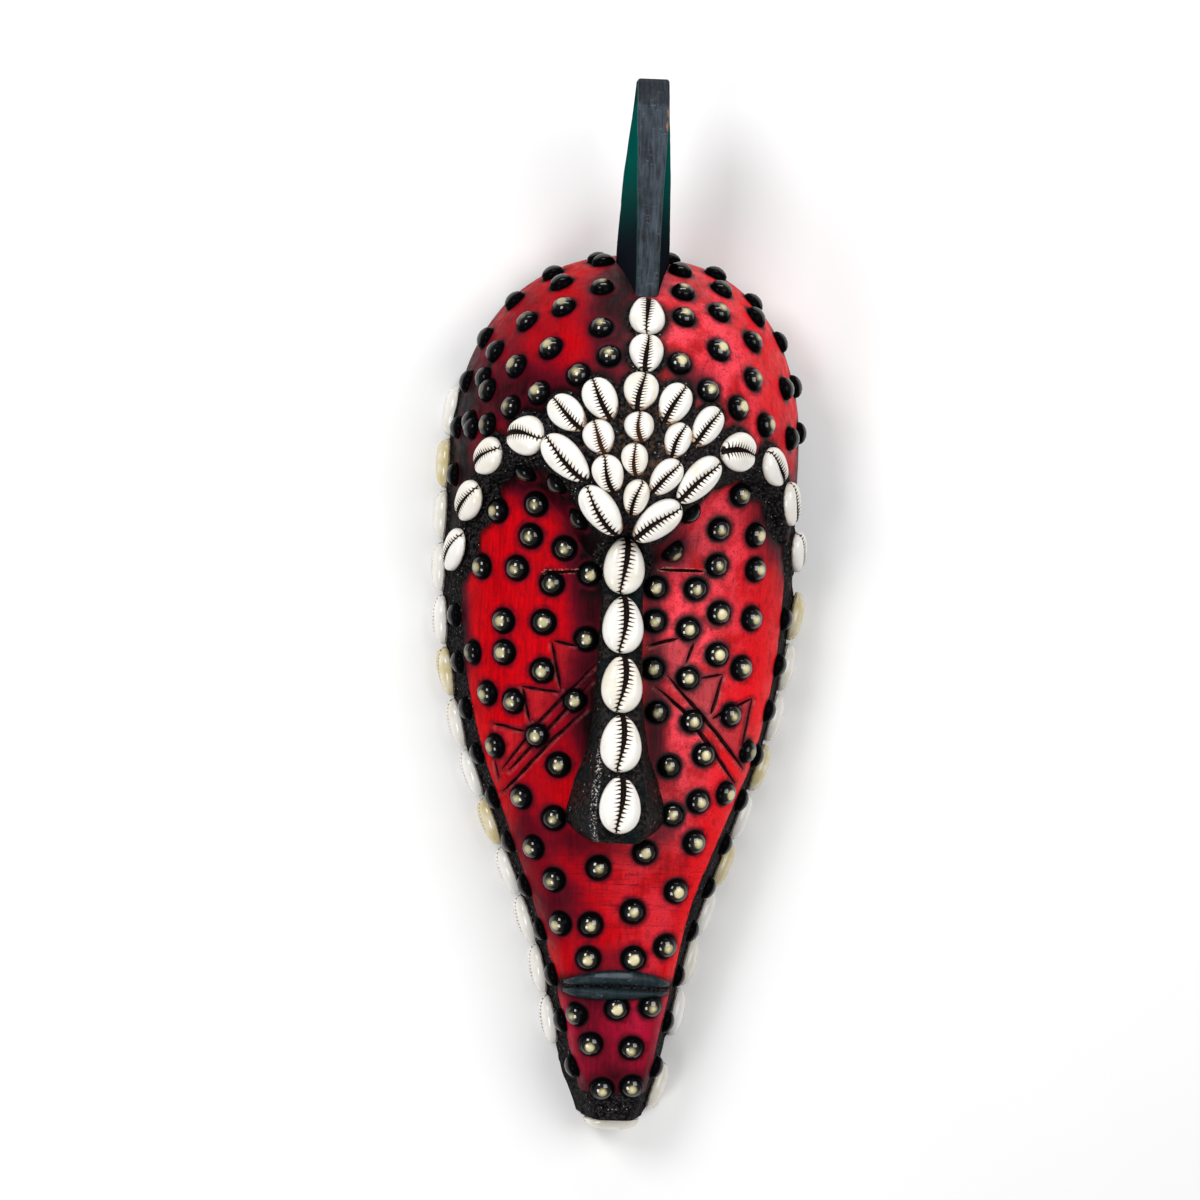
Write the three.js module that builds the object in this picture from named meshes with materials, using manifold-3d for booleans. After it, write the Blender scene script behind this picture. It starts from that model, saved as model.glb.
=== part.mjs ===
// A carved and hollowed wooden face mask, painted red and black, set with dome-headed tacks and
// cowrie shells. It lies on its back rim: +Z is the way the face looks, +Y runs up the forehead to
// the crest blade, +X is the side on the right of someone who looks at the face. Millimetres.

import * as THREE from 'three';
import { mergeVertices } from 'three/addons/utils/BufferGeometryUtils.js';
import Module from 'manifold-3d';

const wasm = await Module();
wasm.setup();

// Driving dimensions of the carved wood
const headTop = 147;
const browLevel = 62;
const chinEnd = -206;
const domeHalfWidth = 71.5;
const domeHeight = 92;
const domeOutlineRoundness = 2.3;
const domeCrownRoundness = 2.1;
const domeSectionRoundness = 2.2;
const wallFlare = 6;
const rimWallThickness = 9;
const frontThickness = 14;

// Half-width of the back rim below the brow level, as [y, half-width]
const rimHalfWidths = [
  [-206, 14], [-180, 22], [-160, 26], [-139, 30.6], [-119, 37.2], [-102, 43.8], [-78, 52.8],
  [-57, 60.4], [-36, 65.8], [-12, 70], [20, 71.8], [62, 71.5],
];
// Height of the forehead over the rim, along the middle, below the brow level
const foreheadHeights = [[-30, 60], [0, 68], [20, 77], [40, 87], [62, 92]];
// Height of the face over the rim, along the middle, without the nose
const faceHeights = [
  [-206, 31], [-180, 39], [-155, 45], [-120, 49], [-60, 54], [0, 60], [40, 68], [62, 73],
];
// How square the face's cross-section is: 2 is an ellipse, 8 is nearly a box
const faceSquareness = [[-206, 7], [-150, 6], [-100, 4.6], [-50, 3.7], [20, 3.1], [62, 2.8]];
// The hand-carved head bends a little from side to side, as [y, x of its middle]
const handCarvedDrift = [
  [-206, 3], [-160, 1.7], [-119, 1.2], [-36, -0.9], [46, -0.2], [100, 1.2], [147, 3],
];
// Lower edge of the brow, as [share of the half-width, y]: it arches over each eye
const browEdge = [
  [0, 26], [0.14, 31], [0.25, 42], [0.375, 51], [0.49, 58], [0.6, 61], [0.72, 58], [0.81, 50],
  [0.89, 37], [0.945, 20], [1, 4],
];
const browArchTop = 61;
const browSlope = 9;
const browFadeBelow = -60;
const chinMiddleHeight = 12;

// Nose, as [y, half-width of the flat ridge, half-width at the face, height of the ridge]
const noseSections = [
  [40, 7.4, 9, 69], [16, 7.8, 8.4, 68], [-35, 8.2, 9.8, 71], [-54, 9, 12.5, 73],
  [-68, 10, 17.5, 75], [-82, 11.2, 20.5, 77], [-91, 9.4, 13, 73.5],
];
const noseAxisAtRoot = -2.9;
const noseAxisAtTip = -1.8;
const noseDepth = 14;
const noseFootSink = 1.5;
const noseFootSpread = 1;

// Crest blade. It reaches as far above the middle as the chin's shell does below it.
const bladeTop = 211.9;
// As [y, half-width in front, half-width behind, height in front, height behind]
const bladeSections = [
  [110, 4.3, 11, 58, 32], [126, 4.3, 11.4, 63.5, 31], [150, 4.5, 11, 66, 34],
  [176, 5.3, 9.8, 68, 43], [201, 6.3, 7.4, 69.5, 56], [bladeTop, 6.2, 6.6, 65, 59],
];
const bladeAxis = 3.4;
const bladeBackRound = 3;
const bladeBackShare = 0.55;

// Puts the middle of the whole mask's width at x = 0
const footprintShift = 0.52;

// Mouth
const mouthLevel = -150.5;
const mouthHalfWidth = 22;
const lipHeight = 2.6;
// As [rise over the mouth's level, arch of its middle, half its thickness]
const upperLip = [2.2, 4.2, 2.3];
const lowerLip = [-2.6, 1.5, 2.1];

// Tacks
const tackRadius = 4.9;
const tackHeight = 3.9;
const tackSides = 5;
const tackSink = 1.6;
const tackShoulderRadiusShare = 0.74;
const tackShoulderHeightShare = 0.72;
const wallTackSpacing = 19;
const wallTackHeight = 27;
// The row on each side wall: length along the wall from the chin to the first, and how many
const wallTackRow = [23, 20];
const templeTackHeight = 46;
const templeTackLevels = [72, 92];
const tackFromShell = 15;
// Share of its height at which a tack or a shell seems to have its middle
const middleShare = 0.4;

// Cowries
const shellHeightShare = 0.4;
// From the back up to the lips, as shares of [width, length, height]
const shellSections = [[1, 1, 0], [0.74, 0.84, 0.78], [0.24, 0.6, 1]];
const shellSlitFloorShare = 0.74;
const shellEggShift = 0.16;
const shellSides = 8;
const rimShellSides = 6;
const shellLowestSeat = -1.2;
const shellHighestSeat = 1.4;
const shellSeatStep = 0.1;
const shellSunkSeat = 0.6;
const leastOverlap = 1e-6;
const gap = 0.3;
const rimShellLength = 20.2;
const rimShellWidth = 14.6;
const rimShellHeight = 5.6;
const rimShellSpacing = 21.3;
const rimShellCentreHeight = 9;
// Rows of shells on the side walls next to the back rim, as [length along the rim from the chin to
// the first, how many]. The right has one more next to the chin, and the left has lost that one.
const leftRimRow = [40.5, 13];
const rightRimRow = [44.1, 9];
const rightChinShell = [13, 1];

// Incised lines
const cutDepth = 1.1;
const cutHalfWidth = 0.75;
const eyeSlitDepth = 1.6;
const eyeSlitHalfWidth = 0.6;

// The photograph's view of the lying mask. Places of tacks, shells and cuts are read off it in
// pixels of its 1200 by 1200 frame, and laid onto the carved form along the line of sight.
const photoMiddle = 600;
const photoMillimetresPerPixel = 0.4;
const sightDistance = 1500;
const sightTarget = new THREE.Vector3(-10.6, 4.75, 50);
const sightYaw = THREE.MathUtils.degToRad(3.5);
const sightRoll = THREE.MathUtils.degToRad(1.8);
const sightCeiling = 100;

const halvingSteps = 26;

// Smooth curve through [place, value] stations, without overshoot
function along(stations, place) {
  const last = stations.length - 1;
  if (place <= stations[0][0]) return stations[0][1];
  if (place >= stations[last][0]) return stations[last][1];
  let i = 0;
  while (place > stations[i + 1][0]) i += 1;
  const slope = (k) => (stations[k + 1][1] - stations[k][1]) / (stations[k + 1][0] - stations[k][0]);
  const tangent = (k) => {
    if (k === 0) return slope(0);
    if (k === last) return slope(last - 1);
    const before = slope(k - 1);
    const after = slope(k);
    return before * after <= 0 ? 0 : (2 * before * after) / (before + after);
  };
  const width = stations[i + 1][0] - stations[i][0];
  const t = (place - stations[i][0]) / width;
  const start = stations[i][1];
  const end = stations[i + 1][1];
  return start * (1 + 2 * t) * (1 - t) ** 2 + tangent(i) * width * t * (1 - t) ** 2
    + end * t * t * (3 - 2 * t) + tangent(i + 1) * width * t * t * (t - 1);
}

// The dome of the head closes like an egg towards its top: 1 at the brow level, 0 at the top
function domeClosing(y, roundness, top = headTop) {
  const share = Math.min(1, Math.max(0, (y - browLevel) / (top - browLevel)));
  return (1 - share ** roundness) ** (1 / roundness);
}

function rimHalfWidth(y) {
  return y > browLevel ? domeHalfWidth * domeClosing(y, domeOutlineRoundness) : along(rimHalfWidths, y);
}

function foreheadHeight(y) {
  return y > browLevel ? domeHeight * domeClosing(y, domeCrownRoundness) : along(foreheadHeights, y);
}

// A point of the carved front. The turn goes from 0 at the right rim, over the face, to 180 at the
// left rim.
function formPoint(y, turn) {
  const angle = THREE.MathUtils.degToRad(turn);
  const across = Math.abs(Math.cos(angle));
  const up = Math.max(0, Math.sin(angle));
  const side = turn > 90 ? -1 : 1;
  const width = rimHalfWidth(y);
  const domePower = 2 / domeSectionRoundness;
  const facePower = 2 / along(faceSquareness, y);
  const domeShare = across ** domePower;
  const edge = along(browEdge, domeShare);
  const dome = THREE.MathUtils.smoothstep(y, edge - browSlope, edge);
  const faceRise = up ** facePower;
  const faceX = (width - wallFlare * faceRise) * across ** facePower;
  const faceZ = along(faceHeights, y) * faceRise;
  const x = THREE.MathUtils.lerp(faceX, width * domeShare, dome);
  const z = THREE.MathUtils.lerp(faceZ, foreheadHeight(y) * up ** domePower, dome);
  return new THREE.Vector3(along(handCarvedDrift, y) + side * x, y, z);
}

// Rows of the form bend with the brow, so that its edge stays crisp
function rowPoint(level, turn) {
  const across = Math.abs(Math.cos(THREE.MathUtils.degToRad(turn))) ** (2 / domeSectionRoundness);
  const browBottom = browArchTop - browSlope;
  let follow = 1;
  if (level > browArchTop) follow = 1 - (level - browArchTop) / (headTop - browArchTop);
  if (level < browBottom) follow = Math.max(0, (level - browFadeBelow) / (browBottom - browFadeBelow));
  return formPoint(level + follow * (along(browEdge, across) - browArchTop), turn);
}

// Turn at which the form reaches a given x or a given height, found by halving
function turnWhere(y, reached, low, high) {
  for (let step = 0; step < halvingSteps; step += 1) {
    const middle = (low + high) / 2;
    if (reached(formPoint(y, middle))) low = middle;
    else high = middle;
  }
  return (low + high) / 2;
}

// The form straight above a place of the rim plane, kept on the form at its edges
function formAbove(x, y) {
  const edgeShare = 0.985;
  const lowestLevel = chinEnd + 0.5;
  const highestLevel = headTop - 1.5;
  const level = THREE.MathUtils.clamp(y, lowestLevel, highestLevel);
  const reach = edgeShare * rimHalfWidth(level);
  const drift = along(handCarvedDrift, level);
  const kept = THREE.MathUtils.clamp(x, drift - reach, drift + reach);
  const turn = turnWhere(level, (point) => point.x > kept, 0, 180);
  return formPoint(level, turn);
}

// The form's outward direction above a place
function formNormal(x, y) {
  const reach = 1.5;
  const east = formAbove(x + reach, y).sub(formAbove(x - reach, y));
  const north = formAbove(x, y + reach).sub(formAbove(x, y - reach));
  return east.cross(north).normalize();
}

const sightBack = new THREE.Vector3(-Math.sin(sightYaw), 0, Math.cos(sightYaw));
const sightRight = new THREE.Vector3(Math.cos(sightYaw), 0, Math.sin(sightYaw))
  .applyAxisAngle(sightBack, sightRoll);
const sightUp = new THREE.Vector3(0, 1, 0).applyAxisAngle(sightBack, sightRoll);
const eye = sightTarget.clone().addScaledVector(sightBack, sightDistance);

// Place on the form that shows at a pixel of the photograph, found by halving the line of sight
function placeAtPixel([column, row]) {
  const onTarget = sightTarget.clone()
    .addScaledVector(sightRight, (column - photoMiddle) * photoMillimetresPerPixel)
    .addScaledVector(sightUp, (photoMiddle - row) * photoMillimetresPerPixel);
  const ray = onTarget.sub(eye);
  const aboveAt = (z) => {
    const reached = eye.clone().addScaledVector(ray, (z - eye.z) / ray.z);
    return formAbove(reached.x, reached.y);
  };
  let low = 0;
  let high = sightCeiling;
  for (let step = 0; step < halvingSteps; step += 1) {
    const middle = (low + high) / 2;
    if (aboveAt(middle).z > middle) low = middle;
    else high = middle;
  }
  return aboveAt((low + high) / 2);
}

// The same for something that rises off the form: its middle shows at the pixel, not its foot
function footAtPixel([column, row], rise) {
  let point = placeAtPixel([column, row]);
  for (let step = 0; step < 2; step += 1) {
    const normal = formNormal(point.x, point.y);
    const offset = rise / photoMillimetresPerPixel;
    point = placeAtPixel([column - offset * normal.dot(sightRight), row + offset * normal.dot(sightUp)]);
  }
  return point;
}

// Closed solid through rings of points with equally many points each. Its ends close onto a point.
function loft(rings, startPoint, endPoint) {
  const sides = rings[0].length;
  const points = [...rings.flat(), startPoint, endPoint];
  const index = [];
  for (let ring = 0; ring + 1 < rings.length; ring += 1) {
    for (let side = 0; side < sides; side += 1) {
      const next = (side + 1) % sides;
      const a = ring * sides + side;
      const b = ring * sides + next;
      index.push(a, b, b + sides, a, b + sides, a + sides);
    }
  }
  const startIndex = points.length - 2;
  const endIndex = points.length - 1;
  const lastRing = (rings.length - 1) * sides;
  for (let side = 0; side < sides; side += 1) {
    const next = (side + 1) % sides;
    index.push(next, side, startIndex, lastRing + side, lastRing + next, endIndex);
  }
  const geometry = new THREE.BufferGeometry();
  const coordinates = points.flatMap((point) => point.toArray());
  geometry.setAttribute('position', new THREE.Float32BufferAttribute(coordinates, 3));
  geometry.setIndex(index);
  return geometry;
}

function middleOf(ring) {
  return ring.reduce((sum, point) => sum.add(point), new THREE.Vector3()).divideScalar(ring.length);
}

function closedLoft(rings) {
  return loft(rings, middleOf(rings[0]), middleOf(rings[rings.length - 1]));
}

function signedVolume(geometry) {
  const position = geometry.getAttribute('position');
  const index = geometry.getIndex().array;
  const corner = (k) => new THREE.Vector3().fromBufferAttribute(position, index[k]);
  let volume = 0;
  for (let k = 0; k < index.length; k += 3) volume += corner(k).dot(corner(k + 1).cross(corner(k + 2))) / 6;
  return volume;
}

// Solid of a closed geometry, turned right side out
function solid(source) {
  const bare = source.clone();
  bare.deleteAttribute('normal');
  bare.deleteAttribute('uv');
  const merged = mergeVertices(bare, 1e-4);
  const faces = Array.from(merged.getIndex().array);
  if (signedVolume(merged) < 0) {
    for (let k = 0; k < faces.length; k += 3) [faces[k + 1], faces[k + 2]] = [faces[k + 2], faces[k + 1]];
  }
  return new wasm.Manifold(new wasm.Mesh({
    numProp: 3,
    vertProperties: Float32Array.from(merged.getAttribute('position').array),
    triVerts: Uint32Array.from(faces),
  }));
}

function geometryOf(manifold) {
  const mesh = manifold.getMesh();
  const geometry = new THREE.BufferGeometry();
  geometry.setAttribute('position', new THREE.Float32BufferAttribute(mesh.vertProperties, 3));
  geometry.setIndex(Array.from(mesh.triVerts));
  return geometry;
}

function largestPiece(manifold) {
  return manifold.decompose().reduce((best, piece) => (piece.volume() > best.volume() ? piece : best));
}

function mirroredTurns(halfTurns) {
  return [...halfTurns, 90, ...halfTurns.map((turn) => 180 - turn).reverse()];
}

// The carved block before anything is added to it
function carvedBlock() {
  const turns = mirroredTurns([0, 7, 15, 25, 37, 50, 62, 73, 82]);
  const domeRows = [12, 25, 38, 51, 63, 73, 82];
  const faceLevels = [-206, -190, -172, -153, -134, -112, -88, -63, -38, -14, 10, 32];
  const levels = [
    ...faceLevels,
    browArchTop - browSlope,
    browArchTop - browSlope / 2,
    browArchTop,
    ...domeRows.map((row) => browLevel + (headTop - browLevel) * Math.sin(THREE.MathUtils.degToRad(row))),
  ];
  const rings = levels.map((level) => turns.map((turn) => rowPoint(level, turn)));
  const top = new THREE.Vector3(along(handCarvedDrift, headTop), headTop, 0);
  const chinMiddle = new THREE.Vector3(along(handCarvedDrift, chinEnd), chinEnd, chinMiddleHeight);
  return solid(loft(rings, chinMiddle, top));
}

// The hollow for the face, open at the back. It ends above the solid chin.
const hollowTop = 136;
const hollowEnd = -176;
const hollowHeights = [
  [-176, 8], [-166, 20], [-150, 28], [-120, 33], [-60, 39], [0, 44], [30, 53],
  [browLevel, domeHeight - frontThickness],
];
const hollowSquareness = [[-150, 3], [browLevel, 2.2]];

function hollowPoint(y, turn) {
  const angle = THREE.MathUtils.degToRad(turn);
  const closing = domeClosing(y, domeCrownRoundness, hollowTop);
  const width = y > browLevel
    ? (domeHalfWidth - rimWallThickness) * closing
    : rimHalfWidth(y) - rimWallThickness;
  const height = along(hollowHeights, y) * (y > browLevel ? closing : 1);
  const power = 2 / along(hollowSquareness, y);
  const x = Math.sign(Math.cos(angle)) * Math.abs(Math.cos(angle)) ** power * width;
  return new THREE.Vector3(along(handCarvedDrift, y) + x, y, height * Math.max(0, Math.sin(angle)) ** power);
}

function hollow() {
  const openDepth = 3;
  const turns = mirroredTurns([0, 17, 38, 62]);
  const roundLevels = [20, 42, 62, 78].map((row) => browLevel
    + (hollowTop - browLevel) * Math.sin(THREE.MathUtils.degToRad(row)));
  const levels = [hollowEnd, -164, -140, -105, -65, -20, 20, browLevel, ...roundLevels];
  const rings = levels.map((level) => {
    const arch = turns.map((turn) => hollowPoint(level, turn));
    const leftFoot = arch[arch.length - 1].clone().setZ(-openDepth);
    const rightFoot = arch[0].clone().setZ(-openDepth);
    return [...arch, leftFoot, rightFoot];
  });
  const top = new THREE.Vector3(along(handCarvedDrift, hollowTop), hollowTop, 0);
  return solid(loft(rings, middleOf(rings[0]), top));
}

function noseAxis(y) {
  const [rootLevel, tipLevel] = [noseSections[0][0], noseSections[noseSections.length - 1][0]];
  return THREE.MathUtils.mapLinear(y, rootLevel, tipLevel, noseAxisAtRoot, noseAxisAtTip);
}

function nose() {
  const rings = noseSections.map(([y, ridge, base, height]) => {
    const axis = noseAxis(y);
    const faceHeight = along(faceHeights, y);
    const foot = base + noseFootSpread;
    return [
      [foot, faceHeight - noseDepth], [base, faceHeight - noseFootSink], [ridge, height],
      [-ridge, height], [-base, faceHeight - noseFootSink], [-foot, faceHeight - noseDepth],
    ].map(([x, z]) => new THREE.Vector3(axis + x, y, z));
  });
  return solid(closedLoft(rings));
}

function noseRidgeAt(y) {
  const ridge = noseSections.map(([level, , , height]) => [level, height]).reverse();
  return new THREE.Vector3(noseAxis(y), y, along(ridge, y));
}

function crestBlade() {
  const rings = bladeSections.map(([y, front, back, high, low]) => [
    [front, high], [back, low], [back * bladeBackShare, low - bladeBackRound],
    [-back * bladeBackShare, low - bladeBackRound], [-back, low], [-front, high],
  ].map(([x, z]) => new THREE.Vector3(bladeAxis + x, y, z)));
  return solid(closedLoft(rings));
}

// A lip is a rounded bar across the face, which thins out at its ends
function lip([rise, arch, thickness]) {
  const stations = 7;
  const sides = 5;
  const thinnestEnd = 0.06;
  const onFaceShare = 0.97;
  const middle = along(handCarvedDrift, mouthLevel);
  const rings = Array.from({ length: stations }, (_, station) => {
    const share = (2 * station) / (stations - 1) - 1;
    const x = middle + share * mouthHalfWidth;
    const full = Math.sqrt(Math.max(thinnestEnd, 1 - share * share));
    const y = mouthLevel + rise + arch * (1 - share * share);
    const centre = formAbove(x * onFaceShare, y);
    return Array.from({ length: sides }, (__, side) => {
      const angle = (2 * Math.PI * (side + 0.5)) / sides;
      return new THREE.Vector3(
        centre.x,
        y + Math.cos(angle) * thickness * full,
        centre.z + Math.sin(angle) * lipHeight * full,
      );
    });
  });
  return solid(closedLoft(rings));
}

// Incised lines of the cheeks and the eye slits, by the pixels of their ends and bends
const leftCheekCutPixels = [
  [[554, 641], [577, 645]],
  [[552, 642], [561, 689]],
  [[522, 686], [560, 692]],
  [[523, 688], [530, 721]],
  [[492, 723], [526, 731]],
  [[495, 760], [499, 779]],
  [[598, 662], [539, 722], [502, 769]],
  [[592, 681], [549, 728], [509, 770]],
  [[586, 709], [548, 744], [502, 792]],
];
const rightCheekCutPixels = [
  [[649, 646], [678, 638]],
  [[694, 643], [686, 663]],
  [[701, 678], [723, 674]],
  [[723, 675], [711, 714]],
  [[712, 718], [752, 698]],
  [[752, 699], [742, 745]],
  [[667, 675], [709, 724], [743, 769]],
  [[655, 686], [684, 711], [735, 783]],
];
const eyeSlitPixels = [[[544, 572], [582, 571]], [[659, 569], [704, 571.5]]];

function cut(pixels, halfWidth, depth) {
  const proud = 1.2;
  const endTaper = 0.55;
  const places = pixels.map(placeAtPixel);
  const rings = places.map((centre, k) => {
    const normal = formNormal(centre.x, centre.y);
    const before = places[Math.max(0, k - 1)];
    const after = places[Math.min(places.length - 1, k + 1)];
    const across = after.clone().sub(before).cross(normal).normalize();
    const share = k === 0 || k === places.length - 1 ? endTaper : 1;
    const spread = share * halfWidth * ((depth + proud) / depth);
    return [
      centre.clone().addScaledVector(normal, -depth * share),
      centre.clone().addScaledVector(normal, proud).addScaledVector(across, spread),
      centre.clone().addScaledVector(normal, proud).addScaledVector(across, -spread),
    ];
  });
  return solid(closedLoft(rings));
}

// Tacks that show on the front, by the pixel of their middle
const foreheadTackPixels = [
  [603, 259.5], [560, 280.5], [602, 285], [525, 319.5], [562.5, 305], [601, 325.5], [493, 350],
  [549, 346.5], [609, 354.5], [514, 365], [577.5, 373.5], [485.5, 389.5], [537, 392],
  [508.5, 406.5], [468, 421.5], [485.5, 424.5],
  [681, 268.5], [684, 290], [723, 287.5], [685, 315], [721, 310.5], [758, 315.5], [755, 340],
  [720.5, 348.5], [680.5, 362], [755.5, 378.5], [710, 390], [740.5, 407.5], [768.5, 425],
];
const leftFaceTackPixels = [
  [524, 474], [554.5, 485.5], [535, 504.5], [495.5, 510.5], [576.5, 521], [529.5, 536.5],
  [564.5, 549], [479.5, 566.5], [515.5, 568.5], [590, 574.5], [551.5, 584], [501.5, 621],
  [543, 622.5], [586.5, 639.5], [470.5, 652.5], [502.5, 652.5], [542, 671], [485, 693.5],
  [512, 701.5], [574.5, 700.5], [536, 735.5], [492.5, 746.5], [558, 765], [519, 797.5],
  [553, 818.5], [531, 848], [598.5, 868], [552, 880.5], [558, 924], [590.5, 925], [588, 959],
];
const rightFaceTackPixels = [
  [742.5, 495], [692.5, 515.5], [720.5, 530], [758, 535.5], [674.5, 553], [718, 566], [758, 570],
  [656, 588], [696.5, 589.5], [720.5, 613.5], [754, 619], [655, 621.5], [689, 629.5],
  [718.5, 655], [743.5, 668.5], [653.5, 669], [688.5, 678.5], [657.5, 712.5], [732.5, 715.5],
  [693, 721.5], [749.5, 752], [705, 755], [669.5, 766.5], [728, 794], [699.5, 802], [673, 815],
  [696, 843], [645, 852.5], [677.5, 891.5], [633, 912], [667, 947], [633.5, 959],
];
const chinTackPixels = [
  [574, 1015], [617, 1009], [652, 1007], [590, 1045], [631.5, 1049], [602, 1090], [632, 1087.5],
];

// A place of the side wall, by its height over the rim. The side is 1 or -1.
function onWall(side, y, height) {
  const turn = turnWhere(y, (point) => point.z < height, 0, 90);
  return formPoint(y, side > 0 ? turn : 180 - turn);
}

function wallNormal({ x, y, z }) {
  const reach = 1.5;
  const side = Math.sign(x - along(handCarvedDrift, y));
  const north = onWall(side, y + reach, z).sub(onWall(side, y - reach, z));
  const upward = onWall(side, y, z + reach).sub(onWall(side, y, z - reach));
  return north.cross(upward).normalize().multiplyScalar(side);
}

// A row of places along a side wall, by the length along it from the chin to the first of them,
// how many they are and how far apart
function wallRow(side, height, [first, count], spacing) {
  const stride = 0.2;
  const places = [];
  let travelled = 0;
  let last = onWall(side, chinEnd, height);
  for (let y = chinEnd + stride; places.length < count; y += stride) {
    const here = onWall(side, y, height);
    travelled += here.distanceTo(last);
    last = here;
    if (travelled >= first + places.length * spacing) places.push(here);
  }
  return places;
}

function tackPlaces() {
  const front = [...foreheadTackPixels, ...leftFaceTackPixels, ...rightFaceTackPixels, ...chinTackPixels]
    .map((pixel) => footAtPixel(pixel, tackHeight * middleShare));
  const walls = [1, -1].flatMap((side) => [
    ...wallRow(side, wallTackHeight, wallTackRow, wallTackSpacing),
    ...templeTackLevels.map((y) => onWall(side, y, templeTackHeight)),
  ]);
  return { front, walls };
}

const tackGeometry = new THREE.LatheGeometry([
  new THREE.Vector2(0, -tackSink),
  new THREE.Vector2(tackRadius, -tackSink),
  new THREE.Vector2(tackRadius * tackShoulderRadiusShare, tackHeight * tackShoulderHeightShare),
  new THREE.Vector2(0, tackHeight),
], tackSides);

const tackSolid = solid(tackGeometry);

function tack(point, normal) {
  const turned = new THREE.Quaternion().setFromUnitVectors(new THREE.Vector3(0, 1, 0), normal);
  const frame = new THREE.Matrix4().compose(point, turned, new THREE.Vector3(1, 1, 1));
  return tackSolid.transform(frame.toArray());
}

// A cowrie lies along its own Y with its slit up: an egg outline, a rounded back and two lips
function shellGeometry(length, width, height, sides) {
  const outline = ([widthShare, lengthShare, heightShare]) => Array.from({ length: sides }, (_, side) => {
    const angle = Math.PI / 2 + (2 * Math.PI * side) / sides;
    const lengthwise = Math.sin(angle);
    const wider = 1 - shellEggShift * lengthwise;
    return new THREE.Vector3(
      0.5 * width * widthShare * Math.cos(angle) * wider,
      0.5 * length * lengthShare * lengthwise,
      height * heightShare,
    );
  });
  const slitFloor = new THREE.Vector3(0, 0, height * shellSlitFloorShare);
  return loft(shellSections.map(outline), new THREE.Vector3(0, 0, 0), slitFloor);
}

// Puts a shell on a plane given by its middle, its outward direction and the direction of its tip
function placedShell(length, width, height, sides, middle, normal, towardsTip) {
  const lengthwise = towardsTip.clone().addScaledVector(normal, -towardsTip.dot(normal)).normalize();
  const sideways = lengthwise.clone().cross(normal);
  const frame = new THREE.Matrix4().makeBasis(sideways, lengthwise, normal).setPosition(middle);
  const body = solid(shellGeometry(length, width, height, sides)).transform(frame.toArray());
  return { body, normal };
}

// Front shells: name, pixel of the middle, true length and width, and the photograph's direction
// of the narrow end, in degrees from its +x
const frontShells = [
  ['crest_cowrie_1', [647, 315.5], 19, 14, 90],
  ['crest_cowrie_2', [646.5, 353], 16.6, 13.4, -90],
  ['fan_cowrie_1_1', [567, 413.5], 18.6, 12.6, -43],
  ['fan_cowrie_1_2', [601, 399.5], 18.6, 13, -62],
  ['fan_cowrie_1_3', [641, 391], 15.8, 13.6, -98],
  ['fan_cowrie_1_4', [674.5, 404], 17.6, 12.4, -117],
  ['fan_cowrie_1_5', [707, 427], 18.4, 11.2, -124],
  ['fan_cowrie_2_1', [599, 437], 14, 12.2, -65],
  ['fan_cowrie_2_2', [639.5, 427], 12.2, 11.6, -80],
  ['fan_cowrie_2_3', [678, 440.5], 14.6, 10.6, -110],
  ['fan_cowrie_3_1', [608.5, 474], 15.4, 12, -67],
  ['fan_cowrie_3_2', [635, 460], 13, 10.4, -82],
  ['fan_cowrie_3_3', [665.5, 477.5], 16.6, 11, -130],
  ['fan_cowrie_4_1', [636, 498], 14.8, 10, -103],
  ['left_brow_cowrie_1', [565, 459], 24, 13.4, -45],
  ['left_brow_cowrie_2', [523.8, 435.5], 17.4, 15.6, 180],
  ['left_brow_cowrie_3', [487, 457], 18, 13.6, 227],
  ['left_brow_cowrie_4', [468, 500.5], 19.6, 13.2, 245],
  ['left_brow_cowrie_5', [456, 551], 20.4, 13.2, 250],
  ['right_brow_cowrie_1', [698.5, 480.5], 23, 12.6, -133],
  ['right_brow_cowrie_2', [739, 452], 17, 15.4, 185],
  ['right_brow_cowrie_3', [776, 468], 18.6, 13.4, -56],
  ['right_brow_cowrie_4', [791.5, 504.5], 19.2, 12.8, -81],
  ['right_brow_cowrie_5', [797.3, 552.5], 19.4, 12.8, -83],
  ['bridge_cowrie_left', [602, 511], 23.4, 13.2, -52],
  ['bridge_cowrie_right', [657, 522], 22.8, 13.2, -141],
];
const noseShellLevels = [18.6, -5, -28.4, -51.8, -75.8];
const noseShellLength = 22.6;
const noseShellWidth = 16.2;

// A shell on the carved form. Its plane is taken from the form under its ends and sides.
function beddedShell(pixel, length, width, degrees) {
  const height = width * shellHeightShare;
  const middle = footAtPixel(pixel, height * middleShare);
  const angle = THREE.MathUtils.degToRad(degrees);
  const pointing = sightRight.clone().multiplyScalar(Math.cos(angle))
    .addScaledVector(sightUp, Math.sin(angle));
  const beside = pointing.clone().cross(sightBack);
  const under = (direction, distance) => formAbove(
    middle.x + direction.x * distance,
    middle.y + direction.y * distance,
  );
  const reach = 0.34;
  const ends = [under(pointing, length * reach), under(pointing, -length * reach)];
  const edges = [under(beside, width * reach), under(beside, -width * reach)];
  const lengthways = ends[0].clone().sub(ends[1]);
  const normal = lengthways.clone().cross(edges[0].clone().sub(edges[1])).normalize();
  if (normal.z < 0) normal.negate();
  return placedShell(length, width, height, shellSides, middle, normal, lengthways);
}

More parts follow.
